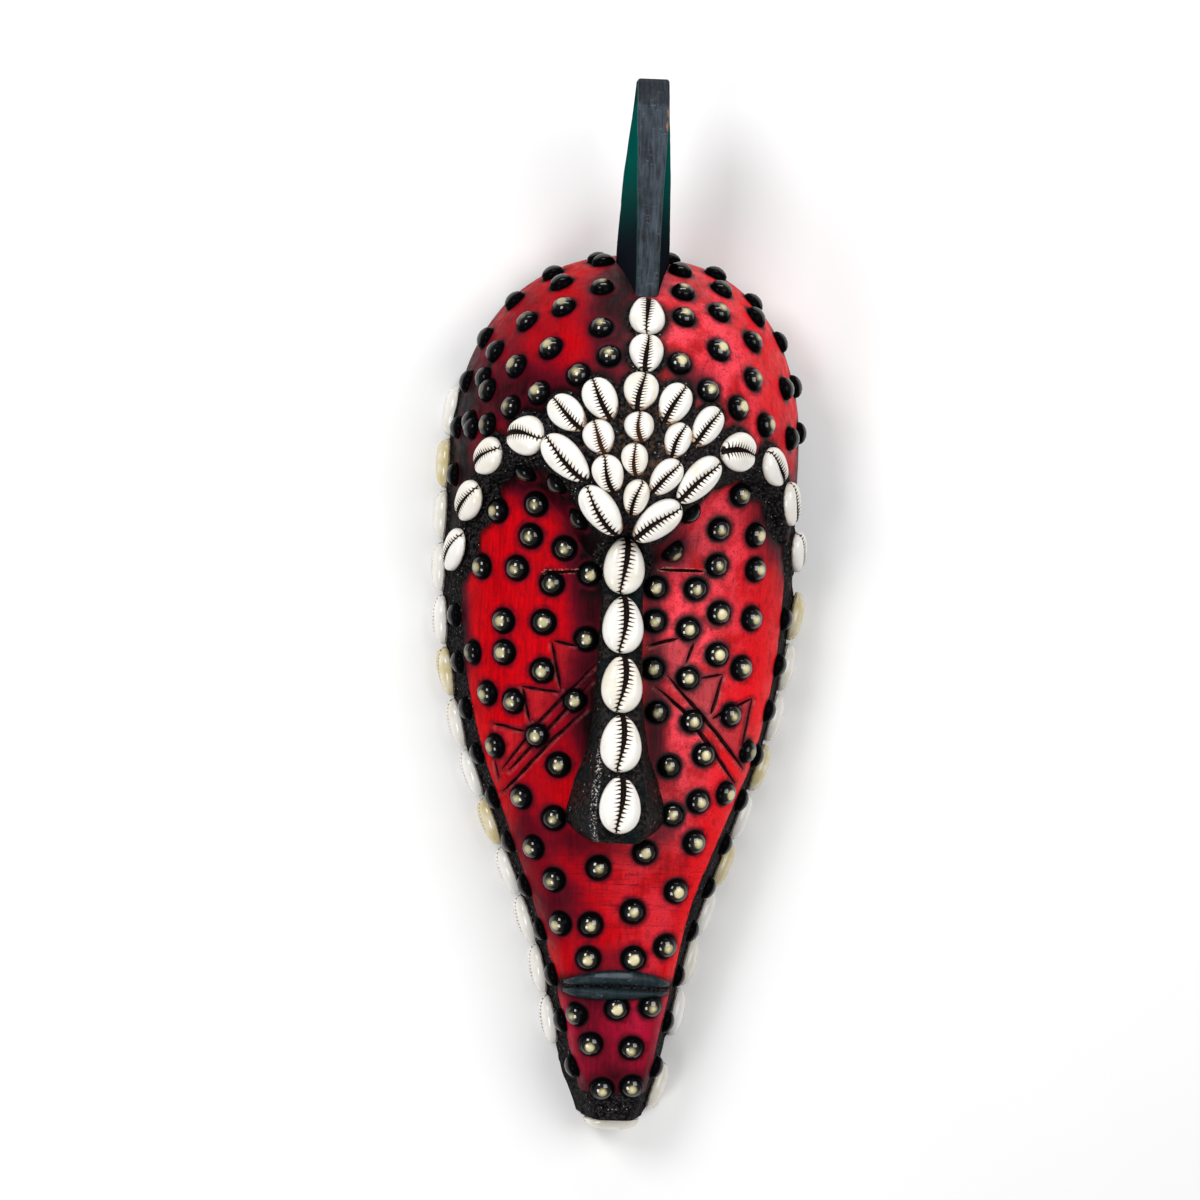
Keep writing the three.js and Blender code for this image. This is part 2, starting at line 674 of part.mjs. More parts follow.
function noseShell(y) {
  const reach = 6;
  const lengthways = noseRidgeAt(y + reach).sub(noseRidgeAt(y - reach));
  const normal = new THREE.Vector3(1, 0, 0).cross(lengthways).normalize();
  const height = noseShellWidth * shellHeightShare;
  const ridge = noseRidgeAt(y + reach).lerp(noseRidgeAt(y - reach), 0.5);
  return placedShell(noseShellLength, noseShellWidth, height, shellSides, ridge, normal, lengthways);
}

function rimShell(place) {
  const normal = wallNormal(place);
  const lengthways = new THREE.Vector3(0, 0, 1).cross(normal);
  return placedShell(
    rimShellLength, rimShellWidth, rimShellHeight, rimShellSides, place, normal, lengthways,
  );
}

// A shell laid on the wood: the lowest seat that clears it, or cut to it where a hollow would leave
// the shell standing too high. The gap is left under it.
function fitted({ body, normal }, wood) {
  const raised = (height) => body.translate(normal.clone().multiplyScalar(height).toArray());
  const clears = (height) => raised(height).intersect(wood).volume() < leastOverlap;
  let seat = shellLowestSeat;
  while (seat < shellHighestSeat && !clears(seat)) seat += shellSeatStep;
  if (clears(seat)) return raised(seat + gap);
  const cutToWood = largestPiece(raised(shellSunkSeat).subtract(wood));
  return cutToWood.translate(normal.clone().multiplyScalar(gap).toArray());
}

function join(solids) {
  return solids.reduce((whole, piece) => whole.add(piece));
}

const paintedWood = new THREE.MeshStandardMaterial({ color: 0xb3131f, roughness: 0.5, metalness: 0 });
const shellWhite = new THREE.MeshStandardMaterial({ color: 0xf1ece0, roughness: 0.25, metalness: 0 });

const mask = new THREE.Group();
mask.position.set(footprintShift, 0, 0);

function add(name, manifold, material) {
  const mesh = new THREE.Mesh(geometryOf(manifold), material);
  mesh.name = name;
  mask.add(mesh);
}

// The wood, with its tacks driven in
const shellMiddles = frontShells.map(([, pixel]) => placeAtPixel(pixel));
const clearOfShells = (point) => shellMiddles.every((middle) => middle.distanceTo(point) > tackFromShell);
const { front: frontTacks, walls: wallTacks } = tackPlaces();
const tacks = [
  ...frontTacks.map((point) => tack(point, formNormal(point.x, point.y))),
  ...wallTacks.filter(clearOfShells).map((point) => tack(point, wallNormal(point))),
];
const cuts = [
  ...[...leftCheekCutPixels, ...rightCheekCutPixels].map((pixels) => cut(pixels, cutHalfWidth, cutDepth)),
  ...eyeSlitPixels.map((pixels) => cut(pixels, eyeSlitHalfWidth, eyeSlitDepth)),
];
const block = join([carvedBlock().subtract(join(cuts)), nose(), crestBlade(), lip(upperLip), lip(lowerLip)]);
const carvedMask = largestPiece(join([block, ...tacks]).subtract(hollow()));
add('carved_mask', carvedMask, paintedWood);

// The shells on the front
frontShells.forEach(([name, ...placing]) => add(name, fitted(beddedShell(...placing), block), shellWhite));
noseShellLevels.forEach((y, k) => add(`nose_cowrie_${k + 1}`, fitted(noseShell(y), block), shellWhite));

// The shells next to the back rim, counted from the chin
function addRim(sideName, side, rows) {
  const places = rows.flatMap((row) => wallRow(side, rimShellCentreHeight, row, rimShellSpacing));
  places.forEach((place, k) => {
    add(`${sideName}_rim_cowrie_${k + 1}`, fitted(rimShell(place), block), shellWhite);
  });
}
addRim('left', -1, [leftRimRow]);
addRim('right', 1, [rightChinShell, rightRimRow]);

const chinShell = placedShell(
  noseShellLength,
  rimShellWidth,
  rimShellHeight,
  shellSides,
  new THREE.Vector3(along(handCarvedDrift, chinEnd), chinEnd, chinMiddleHeight),
  new THREE.Vector3(0, -1, 0),
  new THREE.Vector3(1, 0, 0),
);
add('chin_cowrie', fitted(chinShell, block), shellWhite);

export default mask;
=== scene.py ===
"""Looks of a carved wooden face mask, set with dome-headed tacks and cowrie shells.

The mask lies on its back rim: +Z is the way the face looks, +Y runs up the forehead to the crest
blade and +X is on the right of someone who looks at the face. Shapes are worked out in the
carver's millimetres and become metres of the frame when their meshes are made. Pixels are those
of the photograph's 1200 by 1200 frame, through the line of sight that the camera has too.
"""

import logging
import math
from dataclasses import dataclass, field
from enum import Enum
from typing import Callable, Iterable, Sequence

import bpy
import numpy as np
from bpy.types import Material, Mesh, Node, NodeSocket, NodeTree, Object
from mathutils import Matrix


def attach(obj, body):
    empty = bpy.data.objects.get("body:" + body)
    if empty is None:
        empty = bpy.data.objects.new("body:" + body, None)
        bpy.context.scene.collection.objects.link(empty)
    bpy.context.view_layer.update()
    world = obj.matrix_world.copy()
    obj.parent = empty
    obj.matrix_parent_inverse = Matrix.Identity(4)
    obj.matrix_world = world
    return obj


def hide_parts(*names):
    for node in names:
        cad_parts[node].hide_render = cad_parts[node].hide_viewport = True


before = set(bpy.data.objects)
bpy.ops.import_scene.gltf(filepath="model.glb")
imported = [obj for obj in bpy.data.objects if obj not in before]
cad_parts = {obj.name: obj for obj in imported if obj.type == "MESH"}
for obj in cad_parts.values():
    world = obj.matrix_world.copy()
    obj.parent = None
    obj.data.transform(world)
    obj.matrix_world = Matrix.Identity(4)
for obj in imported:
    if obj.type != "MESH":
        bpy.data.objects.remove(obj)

log = logging.getLogger("mask")

Array = np.ndarray
Colour = tuple[float, float, float, float]
Pairs = tuple[tuple[float, float], ...]
Pixel = tuple[float, float]
Line = tuple[Pixel, ...]
Size = tuple[float, float, float]

BODY = "root"
WOOD_NODE = "carved_mask"
FOOTPRINT_SHIFT = np.array([0.52, 0.0, 0.0])
HALVINGS = 26
LIP_COLOURS = ((0.015, 0.022, 0.032, 1), (0.003, 0.005, 0.008, 1))


def metres(points: Array) -> Array:
    """Turns the carver's millimetres into metres, with the middle of the mask's width at x = 0."""
    return (points + FOOTPRINT_SHIFT) * 0.001


def smoothstep(value: Array, low: Array | float, high: Array | float) -> Array:
    """Rises smoothly from 0 at `low` to 1 at `high`."""
    share = np.clip((value - low) / (high - low), 0.0, 1.0)
    return share * share * (3.0 - 2.0 * share)


def unit(vectors: Array) -> Array:
    """Scales vectors to length 1."""
    return vectors / np.maximum(np.linalg.norm(vectors, axis=-1, keepdims=True), 1e-12)


def grain(points: Array, size: float, seed: int) -> Array:
    """Gives smooth random values over space.

    Args:
        points: Places, one in each row.
        size: Distance over which the values change.
        seed: Number of the pattern.

    Returns:
        Values between -1 and 1, one for each place.
    """
    scaled = points / size + 17.31 * seed
    cell = np.floor(scaled).astype(np.int64)
    share = scaled - cell
    blend = share * share * (3.0 - 2.0 * share)
    total = np.zeros(len(points))
    for corner in range(8):
        step = np.array([corner & 1, (corner >> 1) & 1, (corner >> 2) & 1])
        at = cell + step
        code = (at[:, 0] * 73856093) ^ (at[:, 1] * 19349663) ^ (at[:, 2] * 83492791) ^ (seed * 40503)
        code = ((code & 0xFFFFFFF) * 1103515245 + 12345) & 0x7FFFFFFF
        code = ((code >> 7) * 69069 + 1) & 0x7FFFFFFF
        weight = np.prod(np.where(step == 1, blend, 1.0 - blend), axis=1)
        total += weight * ((code >> 8) / float(0x3FFFFF) - 1.0)
    return total


def halved(low: Array, high: Array, holds: Callable[[Array], Array]) -> Array:
    """Finds where a test stops holding, by halving.

    Args:
        low: Values at which it holds.
        high: Values at which it no longer does.
        holds: The test.

    Returns:
        The values in between, up to which it holds.
    """
    for _ in range(HALVINGS):
        middle = (low + high) / 2.0
        kept = holds(middle)
        low, high = np.where(kept, middle, low), np.where(kept, high, middle)
    return (low + high) / 2.0


def lengths_along(points: Array) -> Array:
    """Gives the length of a line up to each of its points."""
    return np.concatenate([[0.0], np.cumsum(np.linalg.norm(np.diff(points, axis=0), axis=1))])


def evenly(points: Array, count: int, closed: bool = False) -> Array:
    """Samples a line evenly.

    Args:
        points: Its corners.
        count: Number of samples.
        closed: Whether it goes back to its first corner.

    Returns:
        The samples.
    """
    points = np.concatenate([points, points[:1]]) if closed else points
    steps = lengths_along(points)
    wanted = np.linspace(0.0, steps[-1], count, endpoint=not closed)
    return np.stack([np.interp(wanted, steps, part) for part in points.T], axis=1)


class Stations:
    """A smooth curve through [place, value] stations, without overshoot."""

    def __init__(self, pairs: Pairs) -> None:
        """Works out the curve's slopes.

        Args:
            pairs: Places and values of the stations.
        """
        self.places, self.values = np.array(pairs, float).T
        slopes = np.diff(self.values) / np.diff(self.places)
        before, after = slopes[:-1], slopes[1:]
        total = np.where(before + after == 0, 1.0, before + after)
        inner = np.where(before * after <= 0, 0.0, 2.0 * before * after / total)
        self.tangents = np.concatenate([slopes[:1], inner, slopes[-1:]])

    def at(self, place: Array | float) -> Array:
        """Reads the curve.

        Args:
            place: Where to read it. Beyond its ends the curve is level.

        Returns:
            The curve's values there.
        """
        place = np.minimum(np.maximum(place, self.places[0]), self.places[-1])
        index = np.searchsorted(self.places[1:-1], place, side="left")
        width = self.places[index + 1] - self.places[index]
        t = (place - self.places[index]) / width
        start, end = self.values[index], self.values[index + 1]
        rise, fall = self.tangents[index] * width, self.tangents[index + 1] * width
        return (
            start * (1 + 2 * t) * (1 - t) ** 2
            + rise * t * (1 - t) ** 2
            + end * t * t * (3 - 2 * t)
            + fall * t * t * (t - 1)
        )


@dataclass(frozen=True)
class Sight:
    """The photograph's line of sight onto the lying mask, with its 1200 by 1200 frame."""

    middle: float = 600.0
    per_pixel: float = 0.4
    distance: float = 1500.0
    target: tuple[float, float, float] = (-10.6, 4.75, 50.0)
    yaw: float = math.radians(3.5)
    roll: float = math.radians(1.8)
    ceiling: float = 100.0

    @property
    def back(self) -> Array:
        """Direction from the mask to the camera."""
        return np.array([-math.sin(self.yaw), 0.0, math.cos(self.yaw)])

    @property
    def right(self) -> Array:
        """Direction to the right of the picture."""
        return self._rolled(np.array([math.cos(self.yaw), 0.0, math.sin(self.yaw)]))

    @property
    def up(self) -> Array:
        """Direction to the top of the picture."""
        return self._rolled(np.array([0.0, 1.0, 0.0]))

    @property
    def eye(self) -> Array:
        """Place of the camera."""
        return np.array(self.target) + self.distance * self.back

    def _rolled(self, vector: Array) -> Array:
        """Turns a vector that is square to the line of sight about it."""
        return vector * math.cos(self.roll) + np.cross(self.back, vector) * math.sin(self.roll)

    def rays(self, pixels: Array) -> Array:
        """Gives the rays from the eye through pixels.

        Args:
            pixels: Columns and rows, one pixel in each row.

        Returns:
            Vectors from the eye to the plane through the target.
        """
        sideways = (pixels[:, :1] - self.middle) * self.per_pixel * self.right
        upwards = (self.middle - pixels[:, 1:]) * self.per_pixel * self.up
        return np.array(self.target) + sideways + upwards - self.eye

    def pixels_of(self, points: Array) -> Array:
        """Gives the pixels at which places show.

        Args:
            points: Places in millimetres.

        Returns:
            Columns and rows.
        """
        offset = points - self.eye
        depth = -(offset @ self.back)
        scale = self.distance / depth / self.per_pixel
        return np.stack(
            [self.middle + (offset @ self.right) * scale, self.middle - (offset @ self.up) * scale], axis=1
        )


@dataclass(frozen=True)
class CarvedForm:
    """The carved head before anything is added to it."""

    head_top: float = 147.0
    brow_level: float = 62.0
    chin_end: float = -206.0
    dome_half_width: float = 71.5
    dome_height: float = 92.0
    outline_roundness: float = 2.3
    crown_roundness: float = 2.1
    section_roundness: float = 2.2
    wall_flare: float = 6.0
    rim_wall: float = 9.0
    brow_arch_top: float = 61.0
    brow_slope: float = 9.0
    brow_fade_below: float = -60.0
    chin_middle_height: float = 12.0
    hollow_top: float = 136.0
    hollow_end: float = -176.0
    rim_half_widths: Stations = Stations((
        (-206, 14), (-180, 22), (-160, 26), (-139, 30.6), (-119, 37.2), (-102, 43.8), (-78, 52.8),
        (-57, 60.4), (-36, 65.8), (-12, 70), (20, 71.8), (62, 71.5),
    ))
    forehead_heights: Stations = Stations(((-30, 60), (0, 68), (20, 77), (40, 87), (62, 92)))
    face_heights: Stations = Stations((
        (-206, 31), (-180, 39), (-155, 45), (-120, 49), (-60, 54), (0, 60), (40, 68), (62, 73),
    ))
    face_squareness: Stations = Stations((
        (-206, 7), (-150, 6), (-100, 4.6), (-50, 3.7), (20, 3.1), (62, 2.8),
    ))
    drift: Stations = Stations((
        (-206, 3), (-160, 1.7), (-119, 1.2), (-36, -0.9), (46, -0.2), (100, 1.2), (147, 3),
    ))
    brow_edge: Stations = Stations((
        (0, 26), (0.14, 31), (0.25, 42), (0.375, 51), (0.49, 58), (0.6, 61), (0.72, 58), (0.81, 50),
        (0.89, 37), (0.945, 20), (1, 4),
    ))
    hollow_heights: Stations = Stations((
        (-176, 8), (-166, 20), (-150, 28), (-120, 33), (-60, 39), (0, 44), (30, 53), (62, 78),
    ))
    hollow_squareness: Stations = Stations(((-150, 3), (62, 2.2)))

    def closing(self, y: Array, roundness: float, top: float) -> Array:
        """How far the dome has closed like an egg: 1 at the brow level and 0 at its top."""
        share = np.clip((y - self.brow_level) / (top - self.brow_level), 0.0, 1.0)
        return (1.0 - share**roundness) ** (1.0 / roundness)

    def rim_half_width(self, y: Array) -> Array:
        """Half-width of the back rim at levels."""
        dome = self.dome_half_width * self.closing(y, self.outline_roundness, self.head_top)
        return np.where(y > self.brow_level, dome, self.rim_half_widths.at(y))

    def forehead_height(self, y: Array) -> Array:
        """Height of the forehead over the rim at levels."""
        dome = self.dome_height * self.closing(y, self.crown_roundness, self.head_top)
        return np.where(y > self.brow_level, dome, self.forehead_heights.at(y))

    def section_point(self, y: Array, across: Array, up: Array, side: Array) -> Array:
        """Gives points of the carved front.

        Args:
            y: Levels of the points.
            across: Cosine of the turn over the face, 1 at a rim and 0 on the middle line.
            up: Sine of the turn.
            side: 1 on the right and -1 on the left.

        Returns:
            Places in millimetres.
        """
        width = self.rim_half_width(y)
        face_power = 2.0 / self.face_squareness.at(y)
        dome_power = 2.0 / self.section_roundness
        dome_share = across**dome_power
        edge = self.brow_edge.at(dome_share)
        dome = smoothstep(y, edge - self.brow_slope, edge)
        rise = up**face_power
        face_x = (width - self.wall_flare * rise) * across**face_power
        face_z = self.face_heights.at(y) * rise
        x = face_x + (width * dome_share - face_x) * dome
        z = face_z + (self.forehead_height(y) * up**dome_power - face_z) * dome
        return np.stack([self.drift.at(y) + side * x, y + 0.0 * x, z], axis=-1)

    def point(self, y: Array, turn: Array) -> Array:
        """Gives points of the front by their turn, from 0 at the right rim to 180 at the left."""
        angle, side = np.radians(turn), np.where(turn > 90.0, -1.0, 1.0)
        return self.section_point(y, np.abs(np.cos(angle)), np.maximum(0.0, np.sin(angle)), side)

    def bent_level(self, level: Array, across: Array) -> Array:
        """Bends a row with the brow, so that the brow's edge stays crisp.

        Args:
            level: The row's level on the middle line, for each of its points.
            across: Cosine of the points' turn over the face.

        Returns:
            The points' own levels.
        """
        share = across ** (2.0 / self.section_roundness)
        bottom = self.brow_arch_top - self.brow_slope
        above = 1.0 - (level - self.brow_arch_top) / (self.head_top - self.brow_arch_top)
        below = np.maximum(0.0, (level - self.brow_fade_below) / (bottom - self.brow_fade_below))
        follow = np.where(level > self.brow_arch_top, above, np.where(level < bottom, below, 1.0))
        return level + follow * (self.brow_edge.at(share) - self.brow_arch_top)

    def turn_where(self, y: Array, reached: Callable[[Array], Array], low: float, high: float) -> Array:
        """Finds the turns at levels up to which a test of the form's points holds."""
        lows, highs = np.full(np.shape(y), float(low)), np.full(np.shape(y), float(high))
        return halved(lows, highs, lambda turn: reached(self.point(y, turn)))

    def above(self, x: Array, y: Array) -> Array:
        """Gives the form straight above places of the rim plane, kept on the form at its edges.

        Args:
            x: The places across the mask.
            y: Their levels.

        Returns:
            Points of the form.
        """
        level = np.clip(y, self.chin_end + 0.5, self.head_top - 1.5)
        reach = 0.985 * self.rim_half_width(level)
        drift = self.drift.at(level)
        kept = np.clip(x, drift - reach, drift + reach)
        turn = self.turn_where(level, lambda point: point[..., 0] > kept, 0.0, 180.0)
        return self.point(level, turn)

    def normal(self, x: Array, y: Array) -> Array:
        """Gives the form's outward directions above places of the rim plane.

        Args:
            x: The places across the mask.
            y: Their levels.

        Returns:
            Directions of length 1.
        """
        reach = 1.5
        east = self.above(x + reach, y) - self.above(x - reach, y)
        north = self.above(x, y + reach) - self.above(x, y - reach)
        return unit(np.cross(east, north))

    def on_wall(self, y: Array, z: Array | float, side: Array) -> Array:
        """Gives the places of the side walls at heights over the rim."""
        turn = self.turn_where(y, lambda point: point[..., 2] < z, 0.0, 90.0)
        return self.point(y, np.where(side > 0, turn, 180.0 - turn))

    def wall_normal(self, points: Array) -> Array:
        """Gives the outward directions of the side walls.

        Args:
            points: Points on the walls.

        Returns:
            Directions of length 1.
        """
        reach = 1.5
        y, z = points[:, 1], points[:, 2]
        side = np.sign(points[:, 0] - self.drift.at(y))
        north = self.on_wall(y + reach, z, side) - self.on_wall(y - reach, z, side)
        upward = self.on_wall(y, z + reach, side) - self.on_wall(y, z - reach, side)
        return unit(np.cross(north, upward)) * side[:, None]

    def wall_row(self, side: float, height: float, row: tuple[float, int], spacing: float) -> Array:
        """Gives a row of places along a side wall.

        Args:
            side: 1 on the right and -1 on the left.
            height: Height of the row over the rim.
            row: Length along the wall from the chin to the first place, and how many there are.
            spacing: How far apart they are.

        Returns:
            The places.
        """
        stride = 0.2
        levels = np.arange(self.chin_end, self.head_top - 1.0, stride)
        wall = self.on_wall(levels, height, np.full(len(levels), side))
        return wall[np.searchsorted(lengths_along(wall), row[0] + spacing * np.arange(row[1]))]

    def _met(self, sight: Sight, rays: Array, z: Array) -> Array:
        """Gives the form above the places where rays from the eye are at heights z."""
        reached = sight.eye + rays * ((z - sight.eye[2]) / rays[:, 2])[:, None]
        return self.above(reached[:, 0], reached[:, 1])

    def place_at(self, sight: Sight, pixels: Array) -> Array:
        """Finds the places of the form that show at pixels.

        Args:
            sight: The line of sight.
            pixels: Columns and rows.

        Returns:
            Places on the form.
        """
        rays = sight.rays(pixels)
        low, high = np.zeros(len(pixels)), np.full(len(pixels), sight.ceiling)
        return self._met(sight, rays, halved(low, high, lambda z: self._met(sight, rays, z)[:, 2] > z))

    def foot_at(self, sight: Sight, pixels: Array, rise: Array | float) -> Array:
        """Finds the feet of things that rise off the form.

        Args:
            sight: The line of sight.
            pixels: Where their middles show.
            rise: How far their middles stand off the form.

        Returns:
            Places on the form.
        """
        places = self.place_at(sight, pixels)
        offset = np.broadcast_to(np.asarray(rise, float), (len(pixels),)) / sight.per_pixel
        for _ in range(2):
            normal = self.normal(places[:, 0], places[:, 1])
            moved = np.stack([-offset * (normal @ sight.right), offset * (normal @ sight.up)], axis=1)
            places = self.place_at(sight, pixels + moved)
        return places

    def hollow_point(self, y: Array, turn: Array) -> Array:
        """Gives points of the hollow behind the face.

        Args:
            y: Their levels.
            turn: Their turns, from 0 at the right to 180 at the left.

        Returns:
            Places in millimetres.
        """
        angle = np.radians(turn)
        closing = self.closing(y, self.crown_roundness, self.hollow_top)
        dome = (self.dome_half_width - self.rim_wall) * closing
        width = np.where(y > self.brow_level, dome, self.rim_half_width(y) - self.rim_wall)
        height = self.hollow_heights.at(y) * np.where(y > self.brow_level, closing, 1.0)
        power = 2.0 / self.hollow_squareness.at(y)
        x = np.sign(np.cos(angle)) * np.abs(np.cos(angle)) ** power * width
        z = height * np.maximum(0.0, np.sin(angle)) ** power
        return np.stack([self.drift.at(y) + x, y + 0.0 * x, z], axis=-1)


@dataclass(frozen=True)
class NoseForm:
    """The long nose, flat on its ridge, which flares at its tip: half-widths and height by levels."""

    tip: tuple[float, float] = (-91.0, -1.8)
    root: tuple[float, float] = (40.0, -2.9)
    depth: float = 14.0
    foot_sink: float = 1.5
    foot_spread: float = 1.0
    ridge: Stations = Stations((
        (-91, 9.4), (-82, 11.2), (-68, 10), (-54, 9), (-35, 8.2), (16, 7.8), (40, 7.4),
    ))
    base: Stations = Stations((
        (-91, 13), (-82, 20.5), (-68, 17.5), (-54, 12.5), (-35, 9.8), (16, 8.4), (40, 9),
    ))
    height: Stations = Stations((
        (-91, 73.5), (-82, 77), (-68, 75), (-54, 73), (-35, 71), (16, 68), (40, 69),
    ))

    def axis(self, y: Array | float) -> Array:
        """Middle of the nose at levels, on the line from its tip to its root."""
        share = (y - self.tip[0]) / (self.root[0] - self.tip[0])
        return self.tip[1] + (self.root[1] - self.tip[1]) * share

    def ridge_point(self, y: float) -> Array:
        """Middle of the ridge at a level."""
        return np.array([float(self.axis(y)), y, float(self.height.at(y))])


@dataclass(frozen=True)
class BladeForm:
    """The upright blade on the crown, by levels of its sections."""

    axis: float = 3.4
    back_round: float = 3.0
    back_share: float = 0.55
    levels: tuple[float, ...] = (110, 126, 150, 176, 201, 211.9)
    fronts: tuple[float, ...] = (4.3, 4.3, 4.5, 5.3, 6.3, 6.2)
    backs: tuple[float, ...] = (11, 11.4, 11, 9.8, 7.4, 6.6)
    highs: tuple[float, ...] = (58, 63.5, 66, 68, 69.5, 65)
    lows: tuple[float, ...] = (32, 31, 34, 43, 56, 59)

    def read(self, values: tuple[float, ...], y: Array) -> Array:
        """Reads one of the blade's sizes at levels."""
        return np.interp(y, self.levels, values)


class ShellBed(Enum):
    """What a cowrie is bedded on."""

    FRONT = "front"
    NOSE = "nose"
    RIM = "rim"


@dataclass(frozen=True)
class SeatedShell:
    """A cowrie in its place: its foot, its directions and its sizes in millimetres."""

    name: str
    bed: ShellBed
    foot: Array
    sideways: Array
    lengthwise: Array
    outward: Array
    length: float
    width: float
    height: float

    def local(self, points: Array) -> Array:
        """Gives points in the shell's own directions: sideways, lengthwise, outward."""
        return (points - self.foot) @ np.stack([self.sideways, self.lengthwise, self.outward], axis=1)

    def outside(self, points: Array) -> Array:
        """Gives how far points lie outside the shell's outline.

        Args:
            points: Places in millimetres.

        Returns:
            Distances in millimetres, negative inside the outline.
        """
        x, y, z = self.local(points).T
        reach = np.hypot(x / (0.5 * self.width), y / (0.5 * self.length))
        middle_size = 0.5 * np.hypot(x, y) / np.maximum(reach, 1e-6) + 0.25 * self.width
        beyond = (reach - 1.0) * middle_size
        return np.hypot(np.maximum(beyond, 0.0), np.maximum(np.abs(z) - 3.0, 0.0)) + np.minimum(beyond, 0.0)


@dataclass
class ShellLayout:
    """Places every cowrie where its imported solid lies."""

    form: CarvedForm
    nose: NoseForm
    sight: Sight
    height_share: float = 0.4
    middle_share: float = 0.4
    nose_size: tuple[float, float] = (22.6, 16.2)
    nose_levels: tuple[float, ...] = (18.6, -5.0, -28.4, -51.8, -75.8)
    rim_size: Size = (20.2, 14.6, 5.6)
    rim_spacing: float = 21.3
    rim_centre_height: float = 9.0
    left_rows: tuple[tuple[float, int], ...] = ((40.5, 13),)
    right_rows: tuple[tuple[float, int], ...] = ((13.0, 1), (44.1, 9))
    lost_row: tuple[float, int] = (19.2, 1)
    front: tuple[tuple[str, Pixel, float, float, float], ...] = (
        ("crest_cowrie_1", (647, 315.5), 19, 14, 90),
        ("crest_cowrie_2", (646.5, 353), 16.6, 13.4, -90),
        ("fan_cowrie_1_1", (567, 413.5), 18.6, 12.6, -43),
        ("fan_cowrie_1_2", (601, 399.5), 18.6, 13, -62),
        ("fan_cowrie_1_3", (641, 391), 15.8, 13.6, -98),
        ("fan_cowrie_1_4", (674.5, 404), 17.6, 12.4, -117),
        ("fan_cowrie_1_5", (707, 427), 18.4, 11.2, -124),
        ("fan_cowrie_2_1", (599, 437), 14, 12.2, -65),
        ("fan_cowrie_2_2", (639.5, 427), 12.2, 11.6, -80),
        ("fan_cowrie_2_3", (678, 440.5), 14.6, 10.6, -110),
        ("fan_cowrie_3_1", (608.5, 474), 15.4, 12, -67),
        ("fan_cowrie_3_2", (635, 460), 13, 10.4, -82),
        ("fan_cowrie_3_3", (665.5, 477.5), 16.6, 11, -130),
        ("fan_cowrie_4_1", (636, 498), 14.8, 10, -103),
        ("left_brow_cowrie_1", (565, 459), 24, 13.4, -45),
        ("left_brow_cowrie_2", (523.8, 435.5), 17.4, 15.6, 180),
        ("left_brow_cowrie_3", (487, 457), 18, 13.6, 227),
        ("left_brow_cowrie_4", (468, 500.5), 19.6, 13.2, 245),
        ("left_brow_cowrie_5", (456, 551), 20.4, 13.2, 250),
        ("right_brow_cowrie_1", (698.5, 480.5), 23, 12.6, -133),
        ("right_brow_cowrie_2", (739, 452), 17, 15.4, 185),
        ("right_brow_cowrie_3", (776, 468), 18.6, 13.4, -56),
        ("right_brow_cowrie_4", (791.5, 504.5), 19.2, 12.8, -81),
        ("right_brow_cowrie_5", (797.3, 552.5), 19.4, 12.8, -83),
        ("bridge_cowrie_left", (602, 511), 23.4, 13.2, -52),
        ("bridge_cowrie_right", (657, 522), 22.8, 13.2, -141),
    )
    shells: list[SeatedShell] = field(default_factory=list)

    def __post_init__(self) -> None:
        """Seats all the shells, under the names of their nodes."""
        self._bed_front()
        for count, level in enumerate(self.nose_levels, start=1):
            self._seat_on_nose(f"nose_cowrie_{count}", level)
        self._seat_rim("left", -1.0, self.left_rows)
        self._seat_rim("right", 1.0, self.right_rows)
        end = self.form.chin_end
        foot = np.array([float(self.form.drift.at(end)), end, self.form.chin_middle_height])
        size = (self.nose_size[0], self.rim_size[1], self.rim_size[2])
        down, across = np.array([0.0, -1.0, 0.0]), np.array([1.0, 0.0, 0.0])
        self._seat("chin_cowrie", ShellBed.RIM, foot, down, across, size)

    @property
    def lost_place(self) -> Array:
        """Place of the shell that is lost next to the chin."""
        return self.form.wall_row(-1.0, self.rim_centre_height, self.lost_row, self.rim_spacing)[0]

    def _seat(
        self, name: str, bed: ShellBed, middle: Array, outward: Array, towards_tip: Array, size: Size
    ) -> None:
        """Puts a shell on a plane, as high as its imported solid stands.

        Args:
            name: Name of the node that holds its solid.
            bed: What it is bedded on.
            middle: Place on the plane.
            outward: The plane's outward direction.
            towards_tip: Direction of the shell's narrow end.
            size: Its length, width and height.
        """
        lengthwise = unit(towards_tip - outward * float(towards_tip @ outward))
        sideways = np.cross(lengthwise, outward)
        top = float(np.max(corners_of(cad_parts[name].data) @ outward))
        foot = middle + outward * (top - float(middle @ outward) - size[2])
        self.shells.append(SeatedShell(name, bed, foot, sideways, lengthwise, outward, *size))

    def _bed_front(self) -> None:
        """Beds the front's shells on the carved form, each on the plane under its ends and sides."""
        pixels = np.array([row[1] for row in self.front], float)
        lengths, widths, degrees = np.array([row[2:] for row in self.front], float).T
        heights = widths * self.height_share
        middles = self.form.foot_at(self.sight, pixels, heights * self.middle_share)
        angles = np.radians(degrees)[:, None]
        pointing = self.sight.right * np.cos(angles) + self.sight.up * np.sin(angles)
        beside = np.cross(pointing, self.sight.back)
        reach = 0.34
        ends, edges = pointing * lengths[:, None] * reach, beside * widths[:, None] * reach
        tip, tail, right, left = (self._under(middles, step) for step in (ends, -ends, edges, -edges))
        outward = unit(np.cross(tip - tail, right - left))
        outward = outward * np.where(outward[:, 2] < 0, -1.0, 1.0)[:, None]
        for count, (name, *_) in enumerate(self.front):
            size = (lengths[count], widths[count], heights[count])
            place = (middles[count], outward[count], (tip - tail)[count])
            self._seat(name, ShellBed.FRONT, *place, size)

